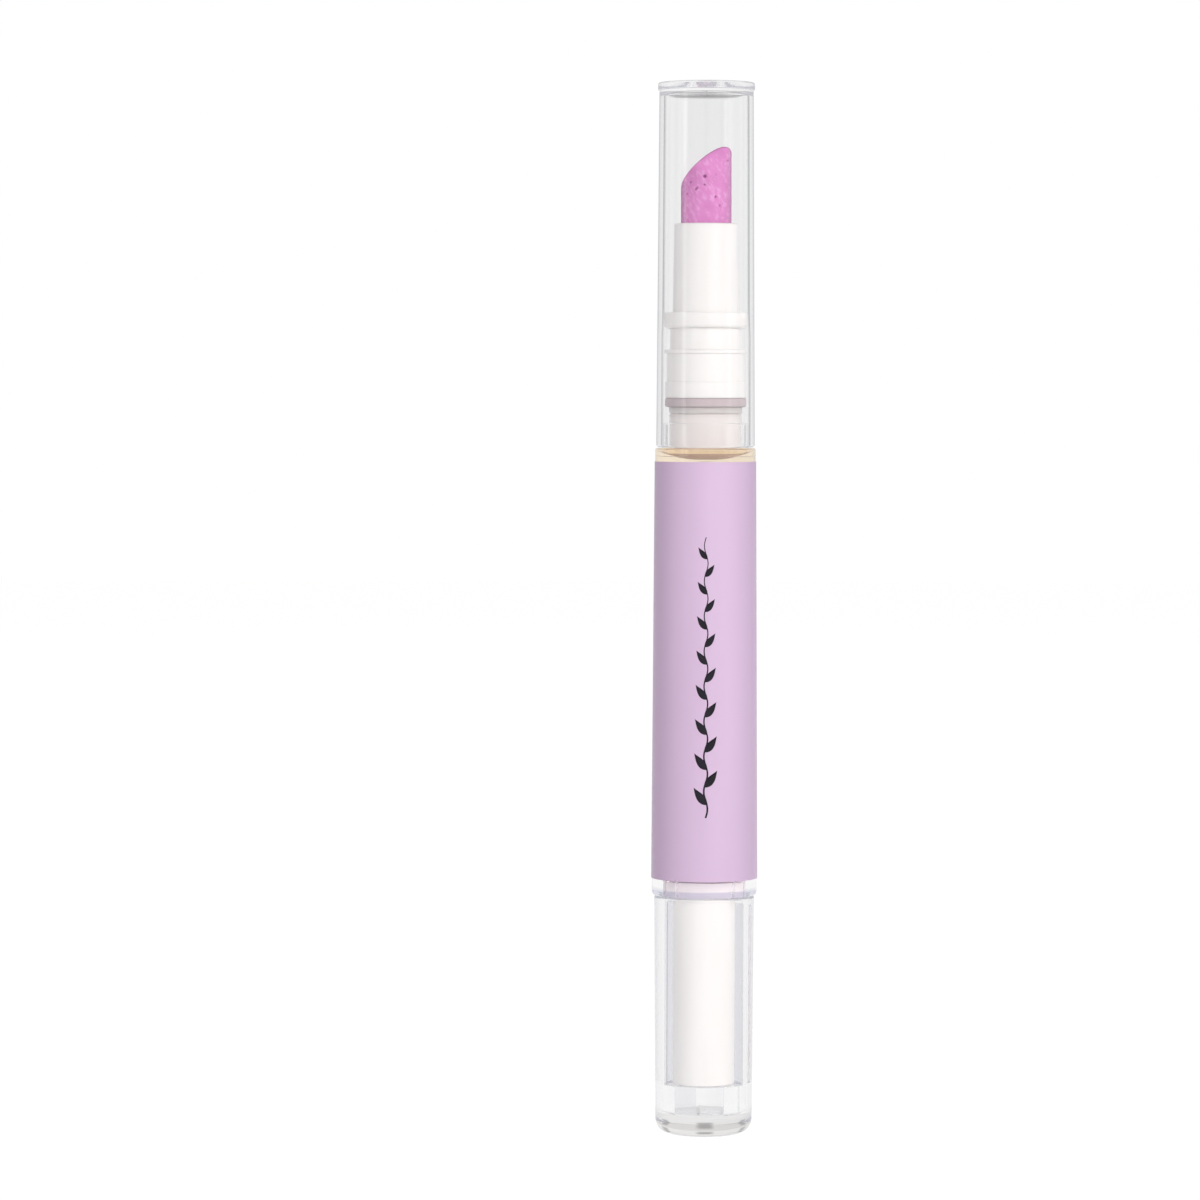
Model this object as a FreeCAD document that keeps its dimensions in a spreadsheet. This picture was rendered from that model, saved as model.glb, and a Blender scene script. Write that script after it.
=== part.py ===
import FreeCAD, Part
import math
import os
import Sketcher
from FreeCAD import Placement, Rotation, Vector

# A twist-up nail oil pen: a clear cap over a slanted soft pusher tip, a clear barrel that holds
# the oil behind a lavender label, and a clear twist knob with a white drive sleeve inside.
# Millimetres, +Z up. The origin is the centre of the knob's foot, on which the pen stands.
# Turning the knob turns the drive sleeve and the flatted screw rod in it. The rod climbs through
# the fixed feed nut and lifts the piston, which feeds oil up the tube into the tip.

OUT_FOLDER = "parts"
SAME_PLACE = 1e-5

# Each size has its own cell of the sheet, under its own name.
SIZES = {
    "knob": {
        "knob_height": 28.6,
        "knob_top_radius": 6.0,
        "knob_foot_radius": 5.8,
        "knob_foot_round": 1.7,
        "knob_mouth_chamfer": 0.2,
        "knob_bore_radius": 4.75,
        "knob_floor_height": 6.0,
        "pocket_corner_radius": 3.25,
        "pocket_floor_height": 2.4,
        "pocket_sides": 8,
        "rib_count": 2,
        "rib_width": 0.6,
        "rib_top_setback": 0.9,
        "facet_turn": -11.5,
    },
    "drive sleeve": {
        "sleeve_radius": 3.75,
        "sleeve_bore_radius": 2.75,
        "sleeve_floor": 0.9,
        "sleeve_dome": 0.45,
        "sleeve_dome_radius": 2.8,
        "groove_depth": 0.2,
        "thrust_flange_radius": 4.5,
        "thrust_flange_height": 1.0,
        "journal_radius": 3.0,
        "journal_length": 2.4,
        "drive_lug_width": 0.9,
        "drive_lug_height": 0.25,
    },
    "screw rod": {
        "rod_radius": 2.0,
        "rod_flat": 1.5,
        "rod_flat_count": 2,
        "rod_tail_gap": 0.3,
        "rod_neck_radius": 1.2,
        "rod_neck_height": 1.1,
        "rod_head_radius": 1.7,
        "rod_head_height": 1.4,
        "rod_reach": 2.0,
    },
    "barrel": {
        "knob_gap": 0.15,
        "barrel_length": 53.65,
        "barrel_rear_radius": 6.33,
        "barrel_front_radius": 6.0,
        "barrel_rear_chamfer": 0.3,
        "shoulder_chamfer": 0.2,
        "reservoir_radius": 4.8,
        "insert_radius": 5.0,
        "shoulder_wall": 1.0,
        "shoulder_rise": 0.6,
        "neck_radius": 5.17,
        "neck_height": 3.0,
        "neck_bore_radius": 4.37,
        "key_count": 4,
        "key_width": 1.5,
        "key_turn": 45.0,
        "slot_radius": 5.45,
    },
    "parts pressed into the barrel's rear": {
        "collar_height": 1.8,
        "ratchet_height": 2.8,
        "ratchet_tip_radius": 4.05,
        "ratchet_root_radius": 4.45,
        "ratchet_teeth": 12,
        "ratchet_ramp_share": 0.86,
        "nut_height": 8.5,
        "nut_key_length": 1.5,
        "nut_cone_height": 0.8,
    },
    "click spring": {
        "spring_band": 0.4,
        "spring_arm": 0.3,
        "spring_arm_offset": 0.42,
        "spring_arm_start": 95.0,
        "pawl_count": 2,
        "pawl_notches_back": 3,
        "pawl_lead": 2.0,
        "pawl_lean": 4.0,
        "pawl_ramp": 9.0,
        "pawl_depth": 0.13,
    },
    "piston": {
        "piston_height": 7.2,
        "piston_lip_height": 1.1,
        "piston_waist_radius": 4.35,
        "piston_dome": 0.9,
        "piston_cup_radius": 3.4,
        "piston_standoff": 0.35,
    },
    "label": {
        "label_start": 2.15,
        "label_length": 49.9,
        "label_thickness": 0.06,
    },
    "neck plug and seal": {
        "plug_stand": 1.1,
        "plug_length": 4.3,
        "plug_dome": 1.2,
        "plug_chamfer": 0.4,
        "plug_flange_radius": 4.4,
        "plug_flange_height": 0.8,
        "seal_height": 1.1,
        "seal_radius": 4.88,
        "seal_chamfer": 0.2,
    },
    "neck connector": {
        "foot_radius": 4.84,
        "foot_height": 1.9,
        "body_radius": 4.67,
        "body_height": 3.4,
        "bead_radius": 4.97,
        "bead_height": 0.45,
        "waist_radius": 4.28,
        "waist_height": 2.6,
        "spigot_radius": 2.85,
        "spigot_length": 4.2,
        "stem_radius": 2.5,
        "stem_length": 4.0,
    },
    "tip holder": {
        "holder_flange_radius": 5.0,
        "holder_flange_height": 1.85,
        "holder_flange_round": 0.5,
        "holder_base_radius": 3.98,
        "holder_mouth_radius": 3.81,
        "holder_length": 10.6,
        "holder_mouth_chamfer": 0.2,
        "tip_socket_depth": 5.2,
    },
    "pusher tip": {
        "tip_radius": 3.03,
        "tip_reach": 9.65,
        "bevel_angle": 43.4,
        "bevel_turn": -34.0,
        "tip_round": 0.42,
        "outlet_radius": 0.5,
    },
    "feed tube": {
        "tube_radius": 0.8,
        "tube_bore_radius": 0.45,
        "tube_in_tip": 7.4,
        "tube_below_plug": 0.3,
    },
    "cap": {
        "cap_gap": 0.1,
        "cap_length": 43.5,
        "cap_mouth_radius": 5.9,
        "cap_crown_radius": 5.62,
        "cap_rim_radius": 5.78,
        "cap_rim_height": 0.9,
        "cap_rim_round": 0.32,
        "cap_ceiling": 1.2,
        "cap_ceiling_chamfer": 0.5,
        "cap_socket_radius": 5.25,
        "cap_socket_depth": 13.6,
        "cap_bore_radius": 5.08,
        "cap_bore_end_radius": 4.98,
        "cap_mouth_chamfer": 0.15,
    },
    "clearances": {
        "running_clearance": 0.05,
        "sliding_clearance": 0.1,
        "end_play": 0.1,
        "press_clearance": 0.02,
        "film_clearance": 0.01,
        "cut_overrun": 1.0,
    },
}

doc = FreeCAD.newDocument("nail_oil_pen")


def fill_sheet():
    """Puts every size into its own cell, with its name as the alias."""
    cells = doc.addObject("Spreadsheet::Sheet", "Sizes")
    row = 1
    for piece, values in SIZES.items():
        cells.set(f"A{row}", piece)
        row += 1
        for name, value in values.items():
            cells.set(f"A{row}", name)
            cells.set(f"B{row}", str(value))
            cells.setAlias(f"B{row}", name)
            row += 1
    doc.recompute()
    return cells


sheet = fill_sheet()


class Size:
    """A size of the sheet, or a formula of several: what it is worth and what a feature is bound to."""

    def __init__(self, value, formula):
        self.value = value
        self.formula = formula

    def __add__(self, other):
        return Size(self.value + other.value, f"({self.formula} + {other.formula})")

    def __sub__(self, other):
        return Size(self.value - other.value, f"({self.formula} - {other.formula})")

    def __mul__(self, other):
        if isinstance(other, Size):
            return Size(self.value * other.value, f"({self.formula} * {other.formula})")
        return Size(self.value * other, f"({self.formula} * {other})")

    def __truediv__(self, other):
        if isinstance(other, Size):
            return Size(self.value / other.value, f"({self.formula} / {other.formula})")
        return Size(self.value / other, f"({self.formula} / {other})")

    def __neg__(self):
        return Size(-self.value, f"(-{self.formula})")


def size(name):
    """The size of that name, read from the sheet."""
    return Size(float(sheet.get(name)), f"{sheet.Name}.{name}")


def sine(angle):
    return Size(math.sin(math.radians(angle.value)), f"sin({angle.formula})")


def cosine(angle):
    return Size(math.cos(math.radians(angle.value)), f"cos({angle.formula})")


def tangent(angle):
    return Size(math.tan(math.radians(angle.value)), f"tan({angle.formula})")


def polar(radius, angle):
    """The point at that radius and angle about the axis, as a pair of sizes."""
    return radius * cosine(angle), radius * sine(angle)


ZERO = Size(0.0, "0")
FULL_TURN = Size(360.0, "360")

# Heights that several pieces share, from the foot up.
barrel_rear = size("knob_height") + size("knob_gap")
shoulder = barrel_rear + size("barrel_length")
collar_top = barrel_rear + size("collar_height")
flange_bottom = collar_top + size("end_play")
flange_top = flange_bottom + size("thrust_flange_height")
ratchet_bottom = flange_top + size("end_play")
ratchet_top = ratchet_bottom + size("ratchet_height")
nut_top = ratchet_top + size("nut_height")
insert_end = nut_top + size("running_clearance")
slot_end = ratchet_top + size("nut_key_length") + size("running_clearance")
journal_top = ratchet_top + size("journal_length")
sleeve_bottom = size("knob_floor_height")
rod_bottom = sleeve_bottom + size("sleeve_floor") + size("rod_tail_gap")
rod_shoulder = nut_top + size("rod_reach")
neck_top = shoulder + size("neck_height")
plug_top = neck_top + size("plug_stand")
plug_flange_top = plug_top + size("plug_flange_height")
plug_bottom = plug_top - size("plug_length")
plug_tip = plug_bottom - size("plug_dome")
seal_top = plug_flange_top + size("seal_height")
foot_top = seal_top + size("foot_height")
body_top = foot_top + size("body_height")
bead_top = body_top + size("bead_height")
holder_bottom = bead_top + size("waist_height")
spigot_top = holder_bottom + size("spigot_length")
holder_flange_top = holder_bottom + size("holder_flange_height")
holder_top = holder_flange_top + size("holder_length")
tip_seat = holder_top - size("tip_socket_depth")
tube_top = tip_seat + size("tube_in_tip")
tube_bottom = plug_tip - size("tube_below_plug")
cap_bottom = shoulder + size("cap_gap")
cap_top = cap_bottom + size("cap_length")

# Radii that a neighbour sets.
tube_hole_radius = size("tube_radius") + size("press_clearance")
stem_hole_radius = size("stem_radius") + size("press_clearance")
plug_radius = size("neck_bore_radius") - size("press_clearance")
insert_fit_radius = size("insert_radius") - size("running_clearance")
rib_tip_radius = size("sleeve_radius") - size("groove_depth") + size("running_clearance")


def new_body(name):
    """An empty body whose name and label are the piece's own."""
    body = doc.addObject("PartDesign::Body", name)
    body.Label = name
    return body


def origin_feature(body, role):
    """The body's own origin plane or axis of that role."""
    return next(item for item in body.Origin.OriginFeatures if item.Role == role)


def new_sketch(body, name, plane, height=None):
    """An empty sketch on one of the body's origin planes, lifted to a height if one is given."""
    sketch = body.newObject("Sketcher::SketchObject", name)
    sketch.AttachmentSupport = (origin_feature(body, plane), [""])
    sketch.MapMode = "FlatFace"
    if height is not None:
        sketch.AttachmentOffset = Placement(Vector(0, 0, height.value), Rotation())
        sketch.setExpression("AttachmentOffset.Base.z", height.formula)
    return sketch


def hold_point(sketch, geometry, end, across, up):
    """Fixes one end of a sketch line or arc at (across, up) from the sketch's origin."""
    for kind, axis, place in (("DistanceX", -2, across), ("DistanceY", -1, up)):
        if abs(place.value) < SAME_PLACE:
            sketch.addConstraint(Sketcher.Constraint("PointOnObject", geometry, end, axis))
        elif place.value > 0:
            row = sketch.addConstraint(Sketcher.Constraint(kind, -1, 1, geometry, end, place.value))
            sketch.setExpression(f"Constraints[{row}]", place.formula)
        else:
            row = sketch.addConstraint(Sketcher.Constraint(kind, geometry, end, -1, 1, -place.value))
            sketch.setExpression(f"Constraints[{row}]", (-place).formula)


def add_dome(sketch, start, end):
    """Adds an arc centred on the upright axis from start to end, and returns its two end numbers."""
    (x0, y0), (x1, y1) = [(p[0].value, p[1].value) for p in (start, end)]
    centre = (x0**2 + y0**2 - x1**2 - y1**2) / (2 * (y0 - y1))
    radius = math.hypot(x0, y0 - centre)
    angles = [math.atan2(y - centre, x) for x, y in ((x0, y0), (x1, y1))]
    circle = Part.Circle(Vector(0, centre, 0), Vector(0, 0, 1), radius)
    low, high = min(angles), max(angles)
    arc = sketch.addGeometry(Part.ArcOfCircle(circle, low, high))
    sketch.addConstraint(Sketcher.Constraint("PointOnObject", arc, 3, -2))
    return arc, (1, 2) if angles[0] < angles[1] else (2, 1)


def outline(sketch, corners):
    """Draws a closed outline. A corner is (across, up), and (across, up, "dome") is reached by an arc."""
    count = len(corners)
    pieces = []
    for number in range(count):
        start, end = corners[number], corners[(number + 1) % count]
        if len(end) == 3:
            pieces.append(add_dome(sketch, start, end))
        else:
            line = Part.LineSegment(
                Vector(start[0].value, start[1].value, 0), Vector(end[0].value, end[1].value, 0)
            )
            pieces.append((sketch.addGeometry(line), (1, 2)))
    for number in range(count):
        geometry, (first, last) = pieces[number]
        following, (next_first, _) = pieces[(number + 1) % count]
        sketch.addConstraint(Sketcher.Constraint("Coincident", geometry, last, following, next_first))
    for number, corner in enumerate(corners):
        geometry, (first, _) = pieces[number]
        hold_point(sketch, geometry, first, corner[0], corner[1])


def revolve(body, name, corners):
    """Turns a closed outline of (radius, height) corners about the pen's axis."""
    sketch = new_sketch(body, name + "_section", "XZ_Plane")
    outline(sketch, corners)
    turned = body.newObject("PartDesign::Revolution", name)
    turned.Profile = sketch
    turned.ReferenceAxis = (sketch, ["V_Axis"])
    turned.setExpression("Angle", FULL_TURN.formula)
    doc.recompute()
    return turned


def pad_up(body, name, corners, low, high):
    """Adds a prism of that outline between two heights."""
    sketch = new_sketch(body, name + "_outline", "XY_Plane", low)
    outline(sketch, corners)
    pad = body.newObject("PartDesign::Pad", name)
    pad.Profile = sketch
    pad.setExpression("Length", (high - low).formula)
    doc.recompute()
    return pad


def cut_up(body, name, corners, low, high):
    """Cuts a prism of that outline between two heights, and makes sure that it took something away."""
    before = body.Shape.Volume
    sketch = new_sketch(body, name + "_outline", "XY_Plane", low)
    outline(sketch, corners)
    pocket = body.newObject("PartDesign::Pocket", name)
    pocket.Profile = sketch
    pocket.Reversed = True
    pocket.setExpression("Length", (high - low).formula)
    doc.recompute()
    if not body.Shape.Volume < before:
        raise RuntimeError(f"{name} cut nothing")
    return pocket


def around(body, name, feature, count):
    """Repeats a feature evenly about the pen's axis."""
    pattern = body.newObject("PartDesign::PolarPattern", name)
    pattern.Originals = [feature]
    pattern.Axis = (origin_feature(body, "Z_Axis"), [""])
    pattern.setExpression("Angle", FULL_TURN.formula)
    pattern.setExpression("Occurrences", count.formula)
    body.Tip = pattern
    doc.recompute()
    return pattern


def ring_edges(shape, radius, height):
    """Names of the shape's round edges about the axis at that radius and height."""
    found = [
        f"Edge{number}"
        for number, edge in enumerate(shape.Edges, start=1)
        if isinstance(edge.Curve, Part.Circle)
        and abs(edge.Curve.Radius - radius.value) < SAME_PLACE
        and abs(edge.Curve.Center.z - height.value) < SAME_PLACE
    ]
    if not found:
        raise RuntimeError(f"no round edge at radius {radius.value} and height {height.value}")
    return found


def dress_rings(body, kind, name, rings, amount):
    """Rounds or chamfers the body's ring edges, each given as (radius, height)."""
    base = body.Tip
    edges = [edge for ring in rings for edge in ring_edges(base.Shape, *ring)]
    dressed = body.newObject(f"PartDesign::{kind}", name)
    dressed.Base = (base, edges)
    dressed.setExpression("Radius" if kind == "Fillet" else "Size", amount.formula)
    doc.recompute()
    if not dressed.isValid():
        raise RuntimeError(f"{name} could not be made")
    return dressed


def round_rings(body, name, rings, radius):
    """Rounds the body's ring edges."""
    return dress_rings(body, "Fillet", name, rings, radius)


def chamfer_rings(body, name, rings, width):
    """Chamfers the body's ring edges."""
    return dress_rings(body, "Chamfer", name, rings, width)


def turn_body(body, angle):
    """Turns a finished body about the pen's axis."""
    body.Placement = Placement(Vector(0, 0, 0), Rotation(Vector(0, 0, 1), angle.value))
    body.setExpression("Placement.Rotation.Angle", angle.formula)


def bar_corners(inner, outer, width):
    """A bar that lies along the X axis between two radii."""
    half = width / 2
    return [(inner, -half), (outer, -half), (outer, half), (inner, half)]


def add_keys(body, radius, low, high):
    """Adds the keys that fit the barrel's slots to a piece of that radius."""
    half_width = size("key_width") - size("running_clearance") * 2
    reach = size("slot_radius") - size("running_clearance")
    root = radius - size("running_clearance") * 2
    key = pad_up(body, f"{body.Name}_key", bar_corners(root, reach, half_width), low, high)
    around(body, f"{body.Name}_keys", key, size("key_count"))
    turn_body(body, size("key_turn"))


def make_knob():
    """Clear twist knob: drafted outside, heavy rounded foot, two driving ribs, eight-sided pocket."""
    body = new_body("knob")
    top, floor = size("knob_height"), size("knob_floor_height")
    foot_radius, bore = size("knob_foot_radius"), size("knob_bore_radius")
    revolve(
        body,
        "knob_shell",
        [
            (ZERO, ZERO),
            (foot_radius, ZERO),
            (size("knob_top_radius"), top),
            (bore, top),
            (bore, floor),
            (ZERO, floor),
        ],
    )
    round_rings(body, "knob_foot", [(foot_radius, ZERO)], size("knob_foot_round"))
    mouth = [(size("knob_top_radius"), top), (bore, top)]
    chamfer_rings(body, "knob_mouth", mouth, size("knob_mouth_chamfer"))
    pocket = body.newObject("PartDesign::SubtractivePrism", "knob_pocket")
    pocket.AttachmentSupport = (origin_feature(body, "XY_Plane"), [""])
    pocket.MapMode = "FlatFace"
    pocket.setExpression("AttachmentOffset.Base.z", size("pocket_floor_height").formula)
    pocket.setExpression("Polygon", size("pocket_sides").formula)
    pocket.setExpression("Circumradius", size("pocket_corner_radius").formula)
    pocket.setExpression("Height", (floor - size("pocket_floor_height")).formula)
    doc.recompute()
    corners = bar_corners(rib_tip_radius, bore + size("running_clearance"), size("rib_width"))
    rib = pad_up(body, "knob_rib", corners, floor, top - size("rib_top_setback"))
    around(body, "knob_ribs", rib, size("rib_count"))
    turn_body(body, size("facet_turn"))
    return body


def make_drive_sleeve():
    """White sleeve inside the knob, with a thrust flange, a journal and a flatted bore for the rod."""
    body = new_body("drive_sleeve")
    outer, journal = size("sleeve_radius"), size("journal_radius")
    flange, bore = size("thrust_flange_radius"), size("sleeve_bore_radius")
    bore_floor = sleeve_bottom + size("sleeve_floor")
    dome_tip = sleeve_bottom - size("sleeve_dome")
    bore_end = flange_bottom
    revolve(
        body,
        "sleeve_shell",
        [
            (ZERO, dome_tip),
            (size("sleeve_dome_radius"), sleeve_bottom, "dome"),
            (outer, sleeve_bottom),
            (outer, flange_bottom),
            (flange, flange_bottom),
            (flange, flange_top),
            (journal, flange_top),
            (journal, journal_top),
            (ZERO, journal_top),
            (ZERO, bore_end),
            (bore, bore_end),
            (bore, bore_floor),
            (ZERO, bore_floor),
        ],
    )
    reach = size("rod_radius") + size("sliding_clearance")
    flat = size("rod_flat") + size("sliding_clearance")
    before = body.Shape.Volume
    sketch = new_sketch(body, "flatted_bore_outline", "XY_Plane", bore_end)
    flatted_circle(sketch, reach, flat)
    keyed = body.newObject("PartDesign::Pocket", "flatted_bore")
    keyed.Profile = sketch
    keyed.Reversed = True
    keyed.setExpression("Length", (journal_top - bore_end).formula)
    doc.recompute()
    if not body.Shape.Volume < before:
        raise RuntimeError("flatted_bore cut nothing")
    corners = bar_corners(
        outer - size("groove_depth"),
        outer + size("cut_overrun"),
        size("rib_width") + size("running_clearance") * 2,
    )
    rib_top = size("knob_height") - size("rib_top_setback")
    groove = cut_up(body, "rib_groove", corners, sleeve_bottom, rib_top)
    around(body, "rib_grooves", groove, size("rib_count"))
    lug_reach = journal + size("drive_lug_height")
    corners = bar_corners(journal / 2 + bore / 2, lug_reach, size("drive_lug_width"))
    lug = pad_up(body, "drive_lug", corners, flange_top, ratchet_top - size("end_play"))
    around(body, "drive_lugs", lug, size("pawl_count"))
    turn_body(body, size("facet_turn"))
    return body


def flatted_circle(sketch, radius, flat):
    """Draws a circle cut off by two flats, which lie across the X axis."""
    half = math.sqrt(radius.value**2 - flat.value**2)
    turn = math.atan2(half, flat.value)
    circle = Part.Circle(Vector(0, 0, 0), Vector(0, 0, 1), radius.value)
    upper = sketch.addGeometry(Part.ArcOfCircle(circle, turn, math.pi - turn))
    lower = sketch.addGeometry(Part.ArcOfCircle(circle, math.pi + turn, 2 * math.pi - turn))
    left = sketch.addGeometry(
        Part.LineSegment(Vector(-flat.value, half, 0), Vector(-flat.value, -half, 0))
    )
    right = sketch.addGeometry(
        Part.LineSegment(Vector(flat.value, -half, 0), Vector(flat.value, half, 0))
    )
    for first, first_end, second, second_end in (
        (upper, 2, left, 1),
        (left, 2, lower, 1),
        (lower, 2, right, 1),
        (right, 2, upper, 1),
    ):
        sketch.addConstraint(Sketcher.Constraint("Coincident", first, first_end, second, second_end))
    for arc in (upper, lower):
        sketch.addConstraint(Sketcher.Constraint("Coincident", arc, 3, -1, 1))
        row = sketch.addConstraint(Sketcher.Constraint("Radius", arc, radius.value))
        sketch.setExpression(f"Constraints[{row}]", radius.formula)
    for line, order in ((left, 1), (right, -1)):
        sketch.addConstraint(Sketcher.Constraint("Vertical", line))
        ends = (line, 1, -1, 1) if order > 0 else (-1, 1, line, 1)
        row = sketch.addConstraint(Sketcher.Constraint("DistanceX", *ends, flat.value))
        sketch.setExpression(f"Constraints[{row}]", flat.formula)


def make_screw_rod():
    """Flatted rod that the sleeve turns and the nut lifts, with a snap head for the piston."""
    body = new_body("screw_rod")
    radius, neck, head = size("rod_radius"), size("rod_neck_radius"), size("rod_head_radius")
    neck_top_height = rod_shoulder + size("rod_neck_height")
    head_top = neck_top_height + size("rod_head_height")
    revolve(
        body,
        "rod_bar",
        [
            (ZERO, rod_bottom),
            (radius, rod_bottom),
            (radius, rod_shoulder),
            (neck, rod_shoulder),
            (neck, neck_top_height),
            (head, neck_top_height),
            (neck, head_top),
            (ZERO, head_top),
        ],
    )
    corners = bar_corners(size("rod_flat"), radius + size("cut_overrun"), (radius + radius))
    flat = cut_up(body, "rod_flat_side", corners, rod_bottom, rod_shoulder)
    around(body, "rod_flat_sides", flat, size("rod_flat_count"))
    turn_body(body, size("facet_turn"))
    return body


def make_end_collar():
    """Collar pressed into the barrel's rear, which keeps the drive sleeve in."""
    body = new_body("end_collar")
    bore = size("sleeve_radius") + size("sliding_clearance")
    ring(body, "collar_ring", bore, insert_fit_radius, barrel_rear, collar_top)
    add_keys(body, insert_fit_radius, barrel_rear, collar_top)
    return body


def ring(body, name, inner, outer, low, high):
    """A plain ring between two radii and two heights."""
    return revolve(body, name, [(inner, low), (outer, low), (outer, high), (inner, high)])


def make_ratchet_ring():
    """Ring of inner saw teeth that the pawls click over as the knob turns forward."""
    body = new_body("ratchet_ring")
    tip, root = size("ratchet_tip_radius"), size("ratchet_root_radius")
    ring(body, "ratchet_band", tip, insert_fit_radius, ratchet_bottom, ratchet_top)
    pitch = FULL_TURN / size("ratchet_teeth")
    inner = tip - size("running_clearance")
    corners = [polar(inner, ZERO), polar(root, ZERO), polar(inner, pitch * size("ratchet_ramp_share"))]
    notch = cut_up(body, "ratchet_notch", corners, ratchet_bottom, ratchet_top)
    around(body, "ratchet_notches", notch, size("ratchet_teeth"))
    add_keys(body, insert_fit_radius, ratchet_bottom, ratchet_top)
    return body


def make_click_spring():
    """Band on the sleeve's journal with springy arms, whose pawls ride in the ratchet's teeth."""
    body = new_body("click_spring")
    low = ratchet_bottom + size("end_play")
    high = ratchet_top - size("end_play")
    inner = size("journal_radius") + size("running_clearance")
    outer = inner + size("spring_band")
    ring(body, "spring_ring", inner, outer, low, high)
    lug = size("drive_lug_height") + size("running_clearance")
    corners = bar_corners(
        size("journal_radius") - size("running_clearance"),
        size("journal_radius") + lug,
        size("drive_lug_width") + size("running_clearance") * 2,
    )
    slot = cut_up(body, "lug_slot", corners, low, high)
    around(body, "lug_slots", slot, size("pawl_count"))
    sketch = new_sketch(body, "spring_arm_outline", "XY_Plane", low)
    draw_spring_arm(sketch, outer)
    arm = body.newObject("PartDesign::Pad", "spring_arm_pad")
    arm.Profile = sketch
    arm.setExpression("Length", (high - low).formula)
    doc.recompute()
    around(body, "spring_arms", arm, size("pawl_count"))
    turn_body(body, size("facet_turn"))
    return body


def draw_spring_arm(sketch, band_radius):
    """Draws a springy arm between two arcs about a point beside the axis, with its pawl."""
    offset = size("spring_arm_offset")
    outer = band_radius + offset
    inner = outer - size("spring_arm")
    pitch = FULL_TURN / size("ratchet_teeth")
    notch = size("key_turn") - size("facet_turn") - pitch * size("pawl_notches_back")
    pawl_turn = notch + size("pawl_lead")
    root_turn = size("spring_arm_start")
    face_turn = pawl_turn + size("pawl_lean")
    corners = [
        on_arm(inner, root_turn, offset),
        on_arm(outer, root_turn, offset),
        on_arm(outer, face_turn + size("pawl_ramp"), offset),
        polar(size("ratchet_root_radius") - size("pawl_depth"), pawl_turn),
        on_arm(inner, face_turn, offset),
    ]
    centre = Vector(0, -offset.value, 0)
    kinds = ["line", "arc", "line", "line", "arc"]
    pieces = []
    for number, kind in enumerate(kinds):
        start, end = [
            Vector(corner[0].value, corner[1].value, 0)
            for corner in (corners[number], corners[(number + 1) % len(corners)])
        ]
        if kind == "line":
            pieces.append((sketch.addGeometry(Part.LineSegment(start, end)), 1, 2))
        else:
            angles = [math.atan2(*reversed((point - centre)[:2])) for point in (start, end)]
            circle = Part.Circle(centre, Vector(0, 0, 1), (start - centre).Length)
            arc = sketch.addGeometry(Part.ArcOfCircle(circle, min(angles), max(angles)))
            sketch.addConstraint(Sketcher.Constraint("PointOnObject", arc, 3, -2))
            ends = (1, 2) if angles[0] < angles[1] else (2, 1)
            pieces.append((arc, *ends))
    for number, corner in enumerate(corners):
        piece, first, _ = pieces[number]
        before, _, last = pieces[number - 1]
        sketch.addConstraint(Sketcher.Constraint("Coincident", before, last, piece, first))
        hold_point(sketch, piece, first, *corner)


def on_arm(radius, angle, offset):
    """A point at that radius and angle about the arm's own centre."""
    across, up = polar(radius, angle)
    return across, up - offset


def make_feed_nut():
    """Nut keyed in the barrel, with the rod's bore and a seat for the sleeve's journal."""
    body = new_body("feed_nut")
    seat = size("journal_radius") + size("sliding_clearance")
    seat_end = journal_top + size("end_play")
    bore = size("rod_radius") + size("running_clearance")
    cone_bottom = nut_top - size("nut_cone_height")
    revolve(
        body,
        "nut_block",
        [
            (seat, ratchet_top),
            (insert_fit_radius, ratchet_top),
            (insert_fit_radius, nut_top),
            (bore + size("nut_cone_height"), nut_top),
            (bore, cone_bottom),
            (bore, seat_end),
            (seat, seat_end),
        ],
    )
    add_keys(body, insert_fit_radius, ratchet_top, ratchet_top + size("nut_key_length"))
    return body


def piston_levels():
    """Heights of the piston's skirt, of its seat on the rod's shoulder and of its top edge."""
    bottom = nut_top + size("piston_standoff")
    return bottom, rod_shoulder + size("running_clearance"), bottom + size("piston_height")


def make_piston():
    """Moulded piston: two wiping lips, a domed top and a snap socket for the rod's head."""
    body = new_body("piston")
    bottom, seat, top = piston_levels()
    lip_radius = size("reservoir_radius") - size("running_clearance")
    waist, lip = size("piston_waist_radius"), size("piston_lip_height")
    cup = size("piston_cup_radius")
    throat = size("rod_neck_radius") + size("sliding_clearance")
    chamber = size("rod_head_radius") + size("sliding_clearance")
    throat_top = rod_shoulder + size("rod_neck_height") - size("running_clearance")
    chamber_top = throat_top + size("rod_head_height") + size("sliding_clearance") * 2
    crown = top + size("piston_dome")
    revolve(
        body,
        "piston_moulding",
        [
            (ZERO, chamber_top),
            (chamber, chamber_top),
            (chamber, throat_top),
            (throat, throat_top),
            (throat, seat),
            (cup, seat),
            (cup, bottom),
            (lip_radius, bottom),
            (lip_radius, bottom + lip),
            (waist, bottom + lip * 2),
            (waist, top - lip * 2),
            (lip_radius, top - lip),
            (lip_radius, top),
            (ZERO, crown, "dome"),
        ],
    )
    return body


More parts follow.
